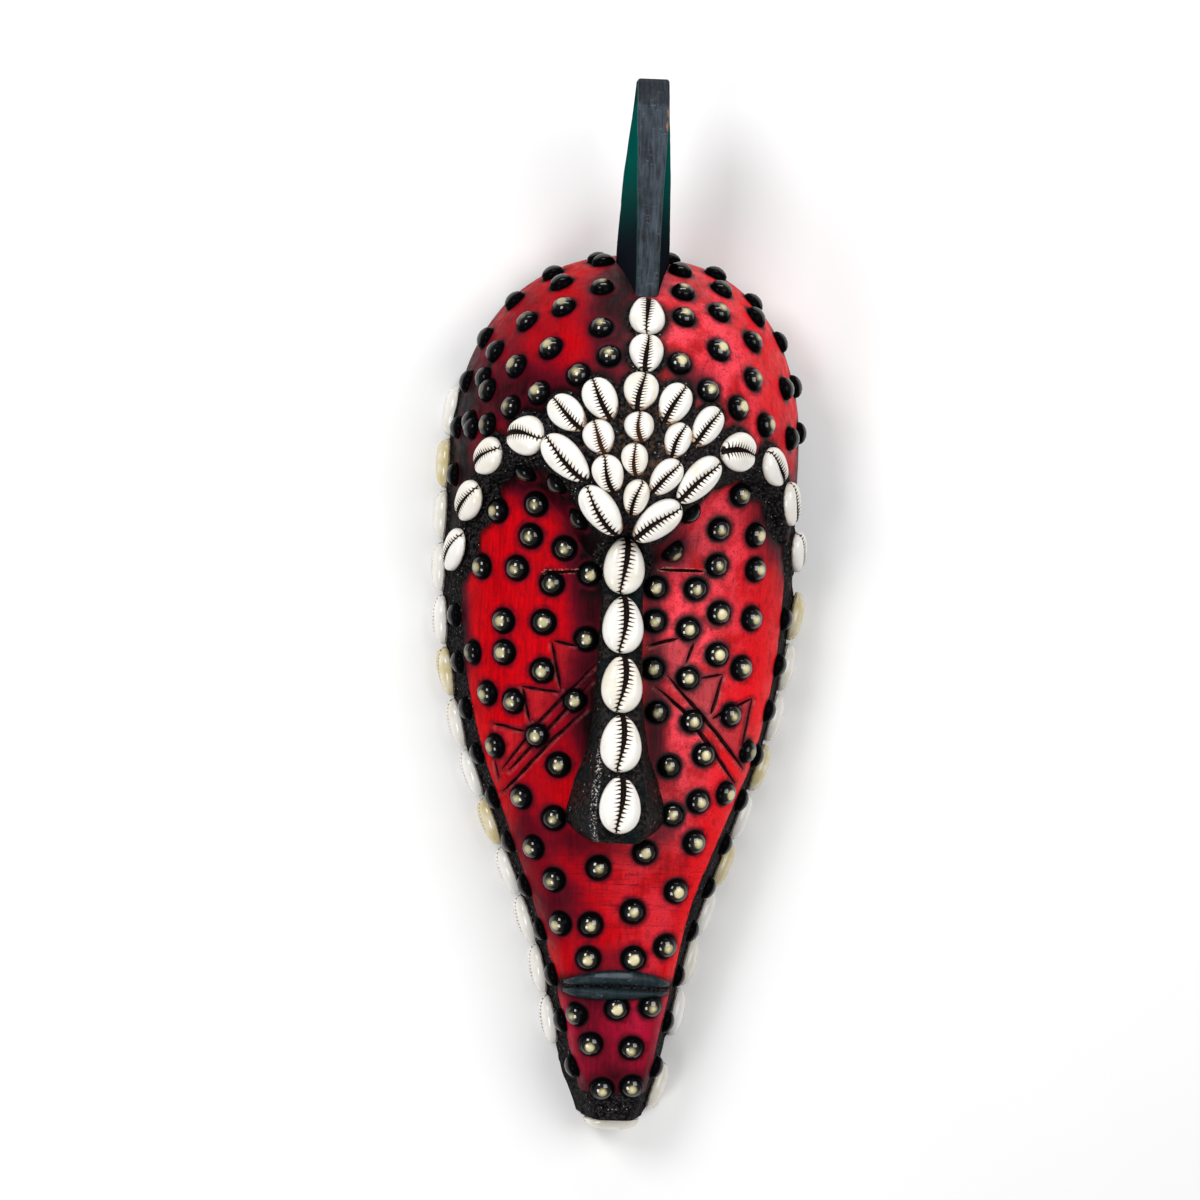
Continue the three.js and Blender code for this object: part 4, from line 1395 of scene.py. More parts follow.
@dataclass
class TackField:
    """The dome-headed tacks, by the pixels of their middles and in rows along the walls."""

    form: CarvedForm
    sight: Sight
    layout: ShellLayout
    radius: float = 4.9
    height: float = 3.9
    sink: float = 1.6
    middle_share: float = 0.4
    wall_spacing: float = 19.0
    wall_height: float = 27.0
    wall_tacks: tuple[float, int] = (23.0, 20)
    temple_height: float = 46.0
    temple_levels: tuple[float, float] = (72.0, 92.0)
    from_shell: float = 15.0
    segments: int = 16
    rings: int = 8
    lot_seed: int = 7
    lean: float = 0.07
    head_scales: tuple[float, float] = (0.965, 1.02)
    forehead: tuple[Pixel, ...] = (
        (603, 259.5), (560, 280.5), (602, 285), (525, 319.5), (562.5, 305), (601, 325.5), (493, 350),
        (549, 346.5), (609, 354.5), (514, 365), (577.5, 373.5), (485.5, 389.5), (537, 392),
        (508.5, 406.5), (468, 421.5), (485.5, 424.5),
        (681, 268.5), (684, 290), (723, 287.5), (685, 315), (721, 310.5), (758, 315.5), (755, 340),
        (720.5, 348.5), (680.5, 362), (755.5, 378.5), (710, 390), (740.5, 407.5), (768.5, 425),
    )
    left_face: tuple[Pixel, ...] = (
        (524, 474), (554.5, 485.5), (535, 504.5), (495.5, 510.5), (576.5, 521), (529.5, 536.5),
        (564.5, 549), (479.5, 566.5), (515.5, 568.5), (590, 574.5), (551.5, 584), (501.5, 621),
        (543, 622.5), (586.5, 639.5), (470.5, 652.5), (502.5, 652.5), (542, 671), (485, 693.5),
        (512, 701.5), (574.5, 700.5), (536, 735.5), (492.5, 746.5), (558, 765), (519, 797.5),
        (553, 818.5), (531, 848), (598.5, 868), (552, 880.5), (558, 924), (590.5, 925), (588, 959),
    )
    right_face: tuple[Pixel, ...] = (
        (742.5, 495), (692.5, 515.5), (720.5, 530), (758, 535.5), (674.5, 553), (718, 566), (758, 570),
        (656, 588), (696.5, 589.5), (720.5, 613.5), (754, 619), (655, 621.5), (689, 629.5),
        (718.5, 655), (743.5, 668.5), (653.5, 669), (688.5, 678.5), (657.5, 712.5), (732.5, 715.5),
        (693, 721.5), (749.5, 752), (705, 755), (669.5, 766.5), (728, 794), (699.5, 802), (673, 815),
        (696, 843), (645, 852.5), (677.5, 891.5), (633, 912), (667, 947), (633.5, 959),
    )
    chin: tuple[Pixel, ...] = (
        (574, 1015), (617, 1009), (652, 1007), (590, 1045), (631.5, 1049), (602, 1090), (632, 1087.5),
    )
    places: Array = field(default_factory=lambda: np.zeros((0, 3)))
    outward: Array = field(default_factory=lambda: np.zeros((0, 3)))

    def __post_init__(self) -> None:
        """Finds the places and directions of all the tacks."""
        pixels = np.array([*self.forehead, *self.left_face, *self.right_face, *self.chin], float)
        front = self.form.foot_at(self.sight, pixels, self.height * self.middle_share)
        walls = np.concatenate([self._on_side(side) for side in (1.0, -1.0)])
        shell_pixels = np.array([pixel for _, pixel, *_ in self.layout.front], float)
        shells = self.form.place_at(self.sight, shell_pixels)
        apart = np.linalg.norm(walls[:, None] - shells[None], axis=2).min(axis=1)
        walls = walls[apart > self.from_shell]
        self.places = np.concatenate([front, walls])
        directions = [self.form.normal(front[:, 0], front[:, 1]), self.form.wall_normal(walls)]
        self.outward = np.concatenate(directions)

    def _on_side(self, side: float) -> Array:
        """Gives the places of the tacks on one side wall and temple.

        Args:
            side: 1 on the right and -1 on the left.

        Returns:
            Places in millimetres.
        """
        row = self.form.wall_row(side, self.wall_height, self.wall_tacks, self.wall_spacing)
        levels = np.array(self.temple_levels)
        temple = self.form.on_wall(levels, self.temple_height, np.full(len(levels), side))
        return np.concatenate([row, temple])

    def build(self, material: Material) -> Object:
        """Makes all the tacks in one piece, one dome on each place.

        Args:
            material: Their finish.

        Returns:
            The piece.
        """
        made = make_object("lacquered_tacks", self.places, [], None)
        held = made.data.attributes.new("outward", "FLOAT_VECTOR", "POINT")
        held.data.foreach_set("vector", self.outward.astype(np.float32).ravel())
        # Painted shade: the pale crowns are laid weaker on the tacks to the left.
        in_light = 0.65 + 0.35 * smoothstep(self.places[:, 0], -35.0, 5.0)
        set_numbers(made.data, "worn", smoothstep(self.outward[:, 2], 0.35, 0.75) * in_light)
        tree = self._tree(material)
        studs = made.modifiers.new("studs", "NODES")
        studs.node_group = tree
        sizes = {
            "Radius": self.radius * 0.001, "Height": self.height * 0.001, "Sink": self.sink * 0.001,
            "Seed": self.lot_seed,
        }
        for socket in tree.interface.items_tree:
            if socket.name in sizes:
                studs[socket.identifier] = sizes[socket.name]
        settle(made)
        dress(made, "lacquered_tack", [WOOD_NODE])
        return made

    def _tree(self, material: Material) -> NodeTree:
        """Builds the node tree that sets a dome on each point.

        Args:
            material: Finish of the domes.

        Returns:
            The tree.
        """
        tree = bpy.data.node_groups.new("tack_domes", "GeometryNodeTree")
        sizes = dict.fromkeys(("Radius", "Height", "Sink"), "Float")
        for name, kind in {"Geometry": "Geometry", **sizes, "Seed": "Int"}.items():
            tree.interface.new_socket(name, in_out="INPUT", socket_type=f"NodeSocket{kind}")
        tree.interface.new_socket("Geometry", in_out="OUTPUT", socket_type="NodeSocketGeometry")
        work = NodeWork(tree)
        add = work.node
        given = add("NodeGroupInput", {}).outputs
        round_sizes = {"Segments": self.segments, "Rings": self.rings, "Radius": 1.0}
        ball = add("GeometryNodeMeshUVSphere", round_sizes)
        split = add("ShaderNodeSeparateXYZ", {0: add("GeometryNodeInputPosition", {})}).outputs
        shape = {axis: work.math("MULTIPLY", split[axis], given["Radius"]) for axis in ("X", "Y")}
        foot = work.math("MULTIPLY", given["Sink"], -1.0)
        shape["Z"] = work.math("MULTIPLY", split["Z"], given["Height"]).math("MAXIMUM", foot)
        marks = {"Geometry": ball, "Name": "crown", "Value": split["Z"]}
        dome = add("GeometryNodeStoreNamedAttribute", marks, data_type="FLOAT", domain="POINT")
        shape = add("ShaderNodeCombineXYZ", shape)
        dome = add("GeometryNodeSetPosition", {"Geometry": dome, "Position": shape})
        dome = add("GeometryNodeSetShadeSmooth", {"Geometry": dome})
        outward = add("GeometryNodeInputNamedAttribute", {"Name": "outward"}, data_type="FLOAT_VECTOR")
        leans = {"Min": (-self.lean,) * 3, "Max": (self.lean,) * 3, "Seed": given["Seed"]}
        lean = add("FunctionNodeRandomValue", leans, data_type="FLOAT_VECTOR")
        upright = add("ShaderNodeVectorMath", {0: outward, 1: lean}, operation="ADD")
        turn = add("FunctionNodeAlignRotationToVector", {"Vector": upright}, axis="Z")
        picks = []
        for low, high in (self.head_scales, (-1.0, 1.0)):
            limits = {2: low, 3: high, "Seed": given["Seed"]}
            picks.append(add("FunctionNodeRandomValue", limits, data_type="FLOAT").outputs[1])
        inputs = {"Points": given["Geometry"], "Instance": dome, "Rotation": turn, "Scale": picks[0]}
        studs = add("GeometryNodeInstanceOnPoints", inputs)
        marks = {"Geometry": studs, "Name": "lot", "Value": picks[1]}
        studs = add("GeometryNodeStoreNamedAttribute", marks, data_type="FLOAT", domain="INSTANCE")
        studs = add("GeometryNodeRealizeInstances", {"Geometry": studs})
        studs = add("GeometryNodeSetMaterial", {"Geometry": studs, "Material": material})
        add("NodeGroupOutput", {"Geometry": studs})
        return tree


@dataclass
class CowrieShells:
    """Builds the cowries: egg-shaped domes with a toothed slit between two lips."""

    layout: ShellLayout
    egg_shift: float = 0.16
    widest_share: float = 0.26
    end_roundness: float = 2.6
    section_roundness: float = 2.5
    tooth_pitch: float = 1.62
    usual_width: float = 15.0
    usual_length: float = 21.5
    fine_shares: tuple[float, ...] = (0.0, 0.045, 0.085, 0.13, 0.19, 0.27, 0.37, 0.49)
    plain_shares: tuple[float, ...] = (0.0, 0.07, 0.15, 0.27, 0.45)
    outer_shares: tuple[float, ...] = (0.62, 0.75, 0.86, 0.94, 0.985)
    base_shares: tuple[float, ...] = (0.96, 0.8, 0.4)
    yellowed: tuple[str, ...] = (
        "left_rim_cowrie_12", "left_rim_cowrie_8", "left_rim_cowrie_5",
        "right_rim_cowrie_10", "right_rim_cowrie_7", "right_rim_cowrie_5",
    )
    browned: tuple[str, ...] = ("fan_cowrie_2_1", "fan_cowrie_2_2", "fan_cowrie_3_2")

    def build(self, material: Material) -> list[Object]:
        """Makes one piece for each node of the layout.

        Args:
            material: The shells' finish.

        Returns:
            The pieces.
        """
        made = []
        for shell in self.layout.shells:
            grid, values = self._surface(shell, seed=len(made) * 7)
            piece = loft(f"{shell.name}_shell", grid[1:-1], material, (grid[0, 0], grid[-1, 0]))
            for name, value in values.items():
                set_numbers(piece.data, name, np.concatenate([value[1:-1].ravel(), value[[0, -1], 0]]))
            piece.data.shade_smooth()
            dress(piece, "cowrie_shell", [shell.name])
            made.append(piece)
        return made

    def _surface(self, shell: SeatedShell, seed: int) -> tuple[Array, dict[str, Array]]:
        """Works out the surface of one shell.

        Args:
            shell: The shell in its place.
            seed: Number of its small differences from the others.

        Returns:
            Its points by row and column, and the numbers that its finish reads.
        """
        fine = shell.bed is not ShellBed.RIM
        top = np.array([*(self.fine_shares if fine else self.plain_shares), *self.outer_shares])
        below = np.array(self.base_shares)
        share = np.concatenate([[1.0], top[::-1], -top[1:], [-1.0], -below, [0.0], below[::-1]])
        under = np.arange(len(share)) >= len(share) - 2 * len(below) - 1
        theta = np.linspace(-math.pi / 2, math.pi / 2, 62 if fine else 44)[:, None]
        reach = np.sin(theta)
        closing = np.maximum(np.cos(theta), 0.0)
        chance = np.random.default_rng(900 + seed)
        slant, bend = chance.uniform(0.08, 0.13), chance.uniform(0.0, 0.07)
        phase = chance.uniform(0, 6.28)
        half_width = 0.5 * shell.width * closing * (1.0 - self.egg_shift * reach)
        y = 0.5 * shell.length * reach + 0.0 * share
        middle = shell.width * (slant * reach + bend * np.cos(2.0 * theta)) * closing**0.4
        middle = np.clip(middle, -0.6 * half_width, 0.6 * half_width)
        x = half_width * share + np.where(under, 0.0, middle * (1.0 - np.abs(share)))
        level = self.widest_share * shell.height
        lift = (1.0 - np.abs(reach) ** self.end_roundness) ** (1.0 / self.end_roundness)
        span = np.clip(np.abs(x) / np.maximum(half_width, 1e-9), 0.0, 1.0)
        crown = (1.0 - span**self.section_roundness) ** (1.0 / self.section_roundness)
        belly = (1.0 - span**4) ** 0.25 * (1.0 - np.abs(reach) ** 4) ** 0.25
        z = np.where(under, level - level * belly, level + (shell.height - level) * lift * crown)
        away = x - middle
        from_slit = np.abs(away)
        fade = np.where(under, 0.0, closing**0.35)
        valley = 0.15 * shell.height * np.exp(-((from_slit / (0.15 * shell.width)) ** 2))
        groove = 0.8 * np.exp(-((from_slit / (0.03 * shell.width)) ** 2))
        tooth_wave = np.cos(2 * math.pi * y * self.usual_length / shell.length / self.tooth_pitch + phase)
        teeth = 0.1 * tooth_wave * np.exp(-(((from_slit - 1.0) / 0.6) ** 2))
        lips = 0.035 * shell.height * np.exp(-(((from_slit / shell.width - 0.24) / 0.12) ** 2))
        z = z - fade * (valley + groove + teeth - lips * (lift > 0.5))
        local = np.stack([x, y, z], axis=2)
        flat = local.reshape(-1, 3)
        z = z + np.where(under, 0.0, 0.09) * grain(flat, 3.5, seed + 11).reshape(z.shape) * closing
        local[..., 2] = np.minimum(z, shell.height)
        sideways, lengthwise = local[..., :1] * shell.sideways, local[..., 1:2] * shell.lengthwise
        world = shell.foot + sideways + lengthwise + local[..., 2:] * shell.outward
        tint = 0.85 if shell.name in self.yellowed else max(0.0, chance.uniform(-0.25, 0.22))
        deep = any(part in shell.name for part in ("fan", "bridge"))
        from_middle = away * (1.0 if fine else 1.4) * self.usual_width / shell.width
        numbers = {
            "across": np.where(under, 9.0, from_middle),
            "along": y * self.usual_length / shell.length + phase,
            "reach": reach,
            "rise": local[..., 2] - (2.6 * smoothstep(reach, 0.1, 0.95) if deep else 0.0),
            "tint": tint,
            "browned": float(shell.name in self.browned),
        }
        return world, {name: value * np.ones_like(x) for name, value in numbers.items()}


@dataclass
class CarvedWood:
    """The carved, hollowed and painted wood with its nose, crest blade, lips and incised lines."""

    form: CarvedForm
    nose: NoseForm
    blade: BladeForm
    sight: Sight
    layout: ShellLayout
    tacks: TackField
    columns: int = 212
    row_step: float = 1.2
    brow_step: float = 0.55
    dome_rows: int = 92
    mouth_level: float = -150.5
    mouth_half_width: float = 22.0
    lip_height: float = 2.6
    upper_lip: tuple[float, float, float, float] = (1.3, 2.9, 3.0, 0.1)
    lower_lip: tuple[float, float, float, float] = (-2.2, -0.4, 2.3, -0.35)
    cheek_knife: tuple[float, float] = (0.75, 1.1)
    eye_knife: tuple[float, float] = (0.6, 1.6)
    left_cuts: tuple[Line, ...] = (
        ((554, 641), (577, 645)), ((552, 642), (561, 689)), ((522, 686), (560, 692)),
        ((523, 688), (530, 721)), ((492, 723), (526, 731)), ((495, 760), (499, 779)),
        ((598, 662), (539, 722), (502, 769)), ((592, 681), (549, 728), (509, 770)),
        ((586, 709), (548, 744), (502, 792)),
    )
    right_cuts: tuple[Line, ...] = (
        ((649, 646), (678, 638)), ((694, 643), (686, 663)), ((701, 678), (723, 674)),
        ((723, 675), (711, 714)), ((712, 718), (752, 698)), ((752, 699), (742, 745)),
        ((667, 675), (709, 724), (743, 769)), ((655, 686), (684, 711), (735, 783)),
    )
    eye_slits: tuple[Line, ...] = (((544, 572), (582, 571)), ((659, 569), (704, 571.5)))
    panels: tuple[Line, ...] = (
        (
            (554, 641), (561, 689), (522, 686), (530, 726), (492, 723), (497, 775), (539, 722),
            (598, 662), (577, 645),
        ),
        (
            (649, 646), (694, 640), (686, 670), (723, 674), (711, 716), (752, 698), (742, 765),
            (709, 724), (667, 675),
        ),
    )
    glue_widths: dict[str, tuple[float, float]] = field(default_factory=lambda: {
        "left_brow": (2.4, 4.8), "right_brow": (2.4, 6.4), "right_brow_cowrie_2": (2.4, 9.0),
        "crest": (1.4, 1.4), "fan_cowrie_1": (2.0, 2.0), "fan_cowrie_2": (5.0, 5.0),
        "fan_cowrie_3": (5.0, 5.0), "fan_cowrie_4": (4.0, 4.0), "bridge": (2.6, 4.4),
        "nose": (1.5, 1.5), "nose_cowrie_1": (4.5, 4.5), "rim": (3.0, 3.0), "chin_cowrie": (4.0, 4.0),
    })
    left_paint_edge: Stations = Stations((
        (-206, 0.6), (-178, 0.7), (-138, 0.55), (-97, 0.62), (0, 0.55), (60, 0.5),
    ))
    right_paint_edge: Stations = Stations((
        (-206, 0.7), (-176, 0.85), (-152, 0.76), (-118, 0.84), (-75, 0.65), (-54, 0.52), (60, 0.52),
    ))
    # Spots of smoke and of painted shade: column, row, half-width, half-height, strength. Some, such as
    # those on the lower left of the face and on the left forehead, are painted shade where the face turns
    # from the light; the others are smoke.
    smoke: tuple[tuple[float, float, float, float, float], ...] = (
        (455, 400, 26, 90, 0.9), (612, 330, 28, 62, 0.8), (545, 406, 62, 36, 0.85),
        (512, 345, 62, 84, 0.26), (690, 383, 34, 22, 0.65), (592, 545, 31, 66, 0.95),
        (593, 655, 22, 90, 0.55), (595, 750, 16, 60, 0.55), (556, 486, 52, 26, 0.85),
        (500, 472, 40, 18, 0.6), (672, 545, 36, 40, 0.62), (764, 508, 34, 46, 0.5),
        (653, 640, 15, 95, 0.5), (655, 745, 15, 60, 0.6), (782, 540, 18, 70, 0.5),
        (463, 640, 10, 62, 0.85), (600, 1042, 42, 56, 0.5), (575, 838, 30, 18, 0.4),
        (665, 832, 26, 18, 0.45), (612, 850, 42, 16, 0.3), (612, 986, 62, 16, 0.75),
        (612, 955, 30, 16, 0.35), (572, 700, 32, 62, 0.35), (640, 275, 30, 26, 0.7),
        (782, 430, 16, 50, 0.2), (640, 1085, 50, 22, 0.5), (600, 1092, 40, 14, 0.45),
        (535, 735, 44, 44, 0.2), (640, 905, 60, 40, 0.2), (520, 850, 20, 60, 0.2),
        (447, 535, 13, 80, 1.7), (808, 465, 10, 60, 1.3), (450, 440, 12, 40, 0.8),
        (530, 825, 34, 55, 0.4), (556, 905, 34, 46, 0.62), (560, 300, 70, 40, 0.16),
        (500, 340, 40, 60, 0.16), (655, 1035, 10, 60, 0.3), (585, 990, 12, 60, 0.2),
    )

    def build(self, finishes: dict[str, Material]) -> Object:
        """Carves the wood and paints it.

        Args:
            finishes: The materials of its parts, by name.

        Returns:
            The piece.
        """
        wood = self._block(finishes["red"])
        first, *others = self._lines(finishes["groove"])
        steps = [(self._combine(first, [(line, "UNION") for line in others]), "DIFFERENCE")]
        bars = {
            "nose": (self._nose(), "nose"), "crest_blade": (self._blade(), "blade"),
            "upper_lip": (self._lip(self.upper_lip), "lips"),
            "lower_lip": (self._lip(self.lower_lip), "lips"),
        }
        for name, (rings, slot) in bars.items():
            steps.append((loft(name, rings, finishes[slot]), "UNION"))
        steps.append((self._hollow(finishes["hollow"]), "DIFFERENCE"))
        self._combine(wood, steps)
        self._paint(wood.data)
        wood.data.shade_smooth()
        wood.data.set_sharp_from_angle(angle=math.radians(40))
        dress(wood, "painted_wood", [WOOD_NODE])
        return wood

    def _combine(self, base: Object, steps: list[tuple[Object, str]]) -> Object:
        """Joins solids to a base or cuts them out of it.

        Args:
            base: The solid that changes.
            steps: The other solids, each with UNION or DIFFERENCE. They are used up.

        Returns:
            The base.
        """
        for count, (other, operation) in enumerate(steps):
            change = base.modifiers.new(f"step_{count}", "BOOLEAN")
            change.solver = "MANIFOLD"
            change.operation = operation
            change.material_mode = "TRANSFER"
            change.object = other
        settle(base)
        for other, _ in steps:
            mesh = other.data
            bpy.data.objects.remove(other)
            bpy.data.meshes.remove(mesh)
        return base

    def _levels(self) -> Array:
        """Spaces the block's rows, close together on the slope of the brow and at the crown.

        Returns:
            Levels of the rows.
        """
        form = self.form
        bottom = form.brow_arch_top - form.brow_slope
        face = np.arange(form.chin_end, bottom, self.row_step)
        brow = np.arange(bottom, form.brow_arch_top, self.brow_step)
        turn = np.linspace(0.0, math.radians(88.6), self.dome_rows)
        dome = form.brow_arch_top + (form.head_top - form.brow_arch_top) * np.sin(turn)
        return np.concatenate([face, brow, dome])

    def _row(self, level: float) -> Array:
        """Makes one row of the block, evenly spaced from the right rim to the left.

        Args:
            level: The row's level on the middle line.

        Returns:
            Places in millimetres.
        """
        samples = 520
        power = float(self.form.face_squareness.at(level)) / 2.0
        corner = 0.5 ** (0.5 / power)
        wall = np.linspace(0.0, corner, samples) ** power
        front = np.linspace(corner, 0.0, samples)[1:] ** power
        up = np.concatenate([wall, np.sqrt(1.0 - front**2)])
        across = np.concatenate([np.sqrt(1.0 - wall**2), front])
        y = self.form.bent_level(np.full(len(up), level), across)
        ones = np.ones(len(up))
        right = self.form.section_point(y, across, up, ones)
        left = self.form.section_point(y, across, up, -ones)[::-1]
        return evenly(np.concatenate([right, left[1:]]), self.columns)

    def _block(self, material: Material) -> Object:
        """Makes the head's block with its hand-carved surface.

        Args:
            material: Its finish.

        Returns:
            The block, closed and solid.
        """
        form = self.form
        rows = np.stack([self._row(level) for level in self._levels()])
        top = np.array([float(form.drift.at(form.head_top)), form.head_top, 0.0])
        chin = np.array([float(form.drift.at(form.chin_end)), form.chin_end, form.chin_middle_height])
        normals = unit(np.cross(np.gradient(rows, axis=0), np.gradient(rows, axis=1)))
        outwards = np.sum(normals * (rows - [0, 0, 20.0]), axis=2, keepdims=True)[:, 100:101]
        out = (normals * np.where(outwards < 0, -1, 1)).reshape(-1, 3)
        flat = rows.reshape(-1, 3)
        grid = self._let_in(flat + out * self._relief(flat)[:, None]).reshape(rows.shape)
        grid[:, [0, -1], 2] = 0.0
        grid[..., 2] = np.maximum(grid[..., 2], 0.0)
        grid[0, :, 1] = form.chin_end
        rings = [chin + (grid[0] - chin) * share for share in (0.12, 0.4, 0.65, 0.85, 0.95)]
        return loft("carved_wood", np.concatenate([rings, grid]), material, (chin, top))

    def _relief(self, points: Array) -> Array:
        """Height of the surface over the plain form: knife marks, and glue heaped round the shells.

        Args:
            points: Places on the form.

        Returns:
            Heights in millimetres.
        """
        marks = 0.3 * grain(points, 24.0, 3) + 0.12 * grain(points, 8.0, 4) + 0.04 * grain(points, 3.0, 5)
        outside = self._outside_shells(points, self.layout.shells)
        lumps = 1.0 + 0.5 * grain(points, 2.6, 8)
        heap = 0.9 * lumps * smoothstep(-outside, -2.6, 0.4)
        x, y, z = (points - self.layout.lost_place).T
        lost = np.exp(-((y / 8.5) ** 2) - ((z / 5.5) ** 2) - ((x / 9.0) ** 2))
        lump = lost * (2.4 + 1.2 * grain(points, 3.4, 9) + 0.5 * grain(points, 1.6, 10))
        return marks + heap + np.maximum(lump, 0.0)

    def _let_in(self, points: Array) -> Array:
        """Cuts the slope of the brow down round the first shell of the nose, which is let into it.

        Args:
            points: Places on the block.

        Returns:
            The places, cut down.
        """
        shell = next(shell for shell in self.layout.shells if shell.name == "nose_cowrie_1")
        x, y, z = shell.local(points).T
        reach = np.hypot(x / (0.5 * shell.width), y / (0.5 * shell.length))
        limit = 0.15 * shell.height + 26.0 * np.maximum(reach - 1.06, 0.0)
        over = np.where(reach < 2.5, np.maximum(z - limit, 0.0), 0.0)
        return points - over[:, None] * shell.outward

    def _outside_shells(self, points: Array, shells: list[SeatedShell]) -> Array:
        """Works out distances from the outline of the nearest shell.

        Args:
            points: Places in millimetres.
            shells: The shells.

        Returns:
            The distances, negative under a shell.
        """
        nearest = np.full(len(points), 60.0)
        for shell in shells:
            close = np.linalg.norm(points - shell.foot, axis=1) < 40.0
            nearest[close] = np.minimum(nearest[close], shell.outside(points[close]))
        return nearest

    def _lines(self, material: Material) -> list[Object]:
        """Makes the wedges of the cheek cuts and the eye slits.

        Args:
            material: Finish of the cuts.

        Returns:
            The wedges.
        """
        lines = [*self.left_cuts, *self.right_cuts, *self.eye_slits]
        knives = [self.cheek_knife] * (len(lines) - 2) + [self.eye_knife] * 2
        places = self.form.place_at(self.sight, np.array([pixel for line in lines for pixel in line], float))
        runs = np.split(places, np.cumsum([len(line) for line in lines])[:-1])
        return [
            self._line(f"cut_{count}", run, *knife, material)
            for count, (run, knife) in enumerate(zip(runs, knives))
        ]

    def _line(self, name: str, run: Array, half_width: float, depth: float, material: Material) -> Object:
        """Makes the wedge that a knife cuts out along a line.

        Args:
            name: Name of the wedge.
            run: Ends and bends of the line.
            half_width: Half its width at the surface.
            depth: Its depth.
            material: Finish of the cut.

        Returns:
            The wedge.
        """
        proud = 1.3
        count = max(6, int(lengths_along(run)[-1] / 1.6))
        x, y, _ = evenly(run, count).T
        centre, normal = self.form.above(x, y), self.form.normal(x, y)
        across = unit(np.cross(np.gradient(centre, axis=0), normal))
        wobble = grain(centre, 5.0, 21) * 0.28
        centre = centre + across * wobble[:, None]
        share = np.linspace(-1.0, 1.0, count)
        taper = 0.4 + 0.6 * (1.0 - np.abs(share) ** 6)
        deep = (depth * taper * (1.0 + 0.18 * grain(centre, 4.0, 22)))[:, None]
        wide = half_width * taper * (1.0 + 0.2 * grain(centre, 3.5, 23)) * (depth + proud) / depth
        lean = across * (0.25 * half_width)
        surface, aside = centre + normal * proud, across * wide[:, None]
        rings = np.stack([centre - normal * deep + lean, surface + aside, surface - aside], axis=1)
        return loft(name, rings, material)

    def _nose(self) -> Array:
        """Shapes the nose with softened arrises.

        Returns:
            Places of its corners, by ring.
        """
        nose, form = self.nose, self.form
        levels = np.concatenate([[-91.0, -90.6, -89.8, -88.6, -87.2], np.arange(-85.8, 40.0, 1.4), [40.0]])
        rings = []
        for y in levels:
            face = float(form.face_heights.at(y))
            base, ridge, high = (float(curve.at(y)) for curve in (nose.base, nose.ridge, nose.height))
            tuck = max(0.0, (-87.2 - y) / 3.8) ** 2
            base, ridge, high = base - 1.6 * tuck, ridge - 1.6 * tuck, high - 1.4 * tuck
            foot = (base + nose.foot_spread, face - nose.depth)
            half = [foot, (base, face - nose.foot_sink), (ridge, high)]
            rings.append(bar_section(half, float(nose.axis(y)), y, 84, 5))
        bumps = lambda places: 0.22 * grain(places, 7.0, 31) + 0.13 * grain(places, 2.6, 32)
        return roughened(np.array(rings), bumps)

    def _blade(self) -> Array:
        """Shapes the crest blade with its slanted top facet.

        Returns:
            Places of its corners, by ring.
        """
        blade = self.blade
        levels = np.concatenate([np.arange(110.0, 201.0, 1.5), np.arange(201.0, 211.0, 0.9), [211.4, 211.9]])
        rings = []
        for y in levels:
            sizes = (blade.fronts, blade.backs, blade.highs, blade.lows)
            front, back, high, low = (float(blade.read(values, y)) for values in sizes)
            tuck = max(0.0, (y - 211.0) / 0.9) * 0.5
            front, back, high = front - tuck, back - tuck, high - tuck
            half = [(front, high), (back, low), (back * blade.back_share, low - blade.back_round)]
            rings.append(bar_section(half, blade.axis, y, 96, 3))
        return roughened(np.array(rings), self._blade_marks)

    def _blade_marks(self, places: Array) -> Array:
        """Gives the blade's knife marks and chips at places."""
        chips = -0.5 * smoothstep(grain(places, 3.0, 41), 0.45, 0.8)
        return 0.14 * grain(places, 9.0, 42) + 0.05 * grain(places, 2.2, 43) + chips * 0.35

    def _lip(self, sizes: tuple[float, float, float, float]) -> Array:
        """Shapes a lip: a rounded bar across the face, which thins out at its ends.

        Args:
            sizes: Its rise over the mouth's level at the corners, its arch, half its thickness and how
                much thicker it is on the right.

        Returns:
            Places of its corners, by ring.
        """
        rise, arch, thickness, lean = sizes
        share = np.linspace(-1.0, 1.0, 46)
        middle = float(self.form.drift.at(self.mouth_level))
        full = np.sqrt(np.maximum(0.06, 1.0 - share**2))
        x = middle + share * self.mouth_half_width
        y = self.mouth_level + rise + arch * (1.0 - share**2)
        centre = self.form.above(x * 0.97, y)
        angle = np.linspace(0.0, 2.0 * math.pi, 20, endpoint=False)
        across = np.repeat(centre[:, :1], 20, axis=1)
        along = y[:, None] + np.cos(angle) * (thickness * full * (1.0 + lean * share))[:, None]
        upward = centre[:, 2:] + np.sin(angle) * (self.lip_height * full)[:, None]
        rings = np.stack([across, along, upward], axis=2)
        rings[..., 2] += 0.12 * grain(rings.reshape(-1, 3), 4.0, 51).reshape(across.shape)
        return rings

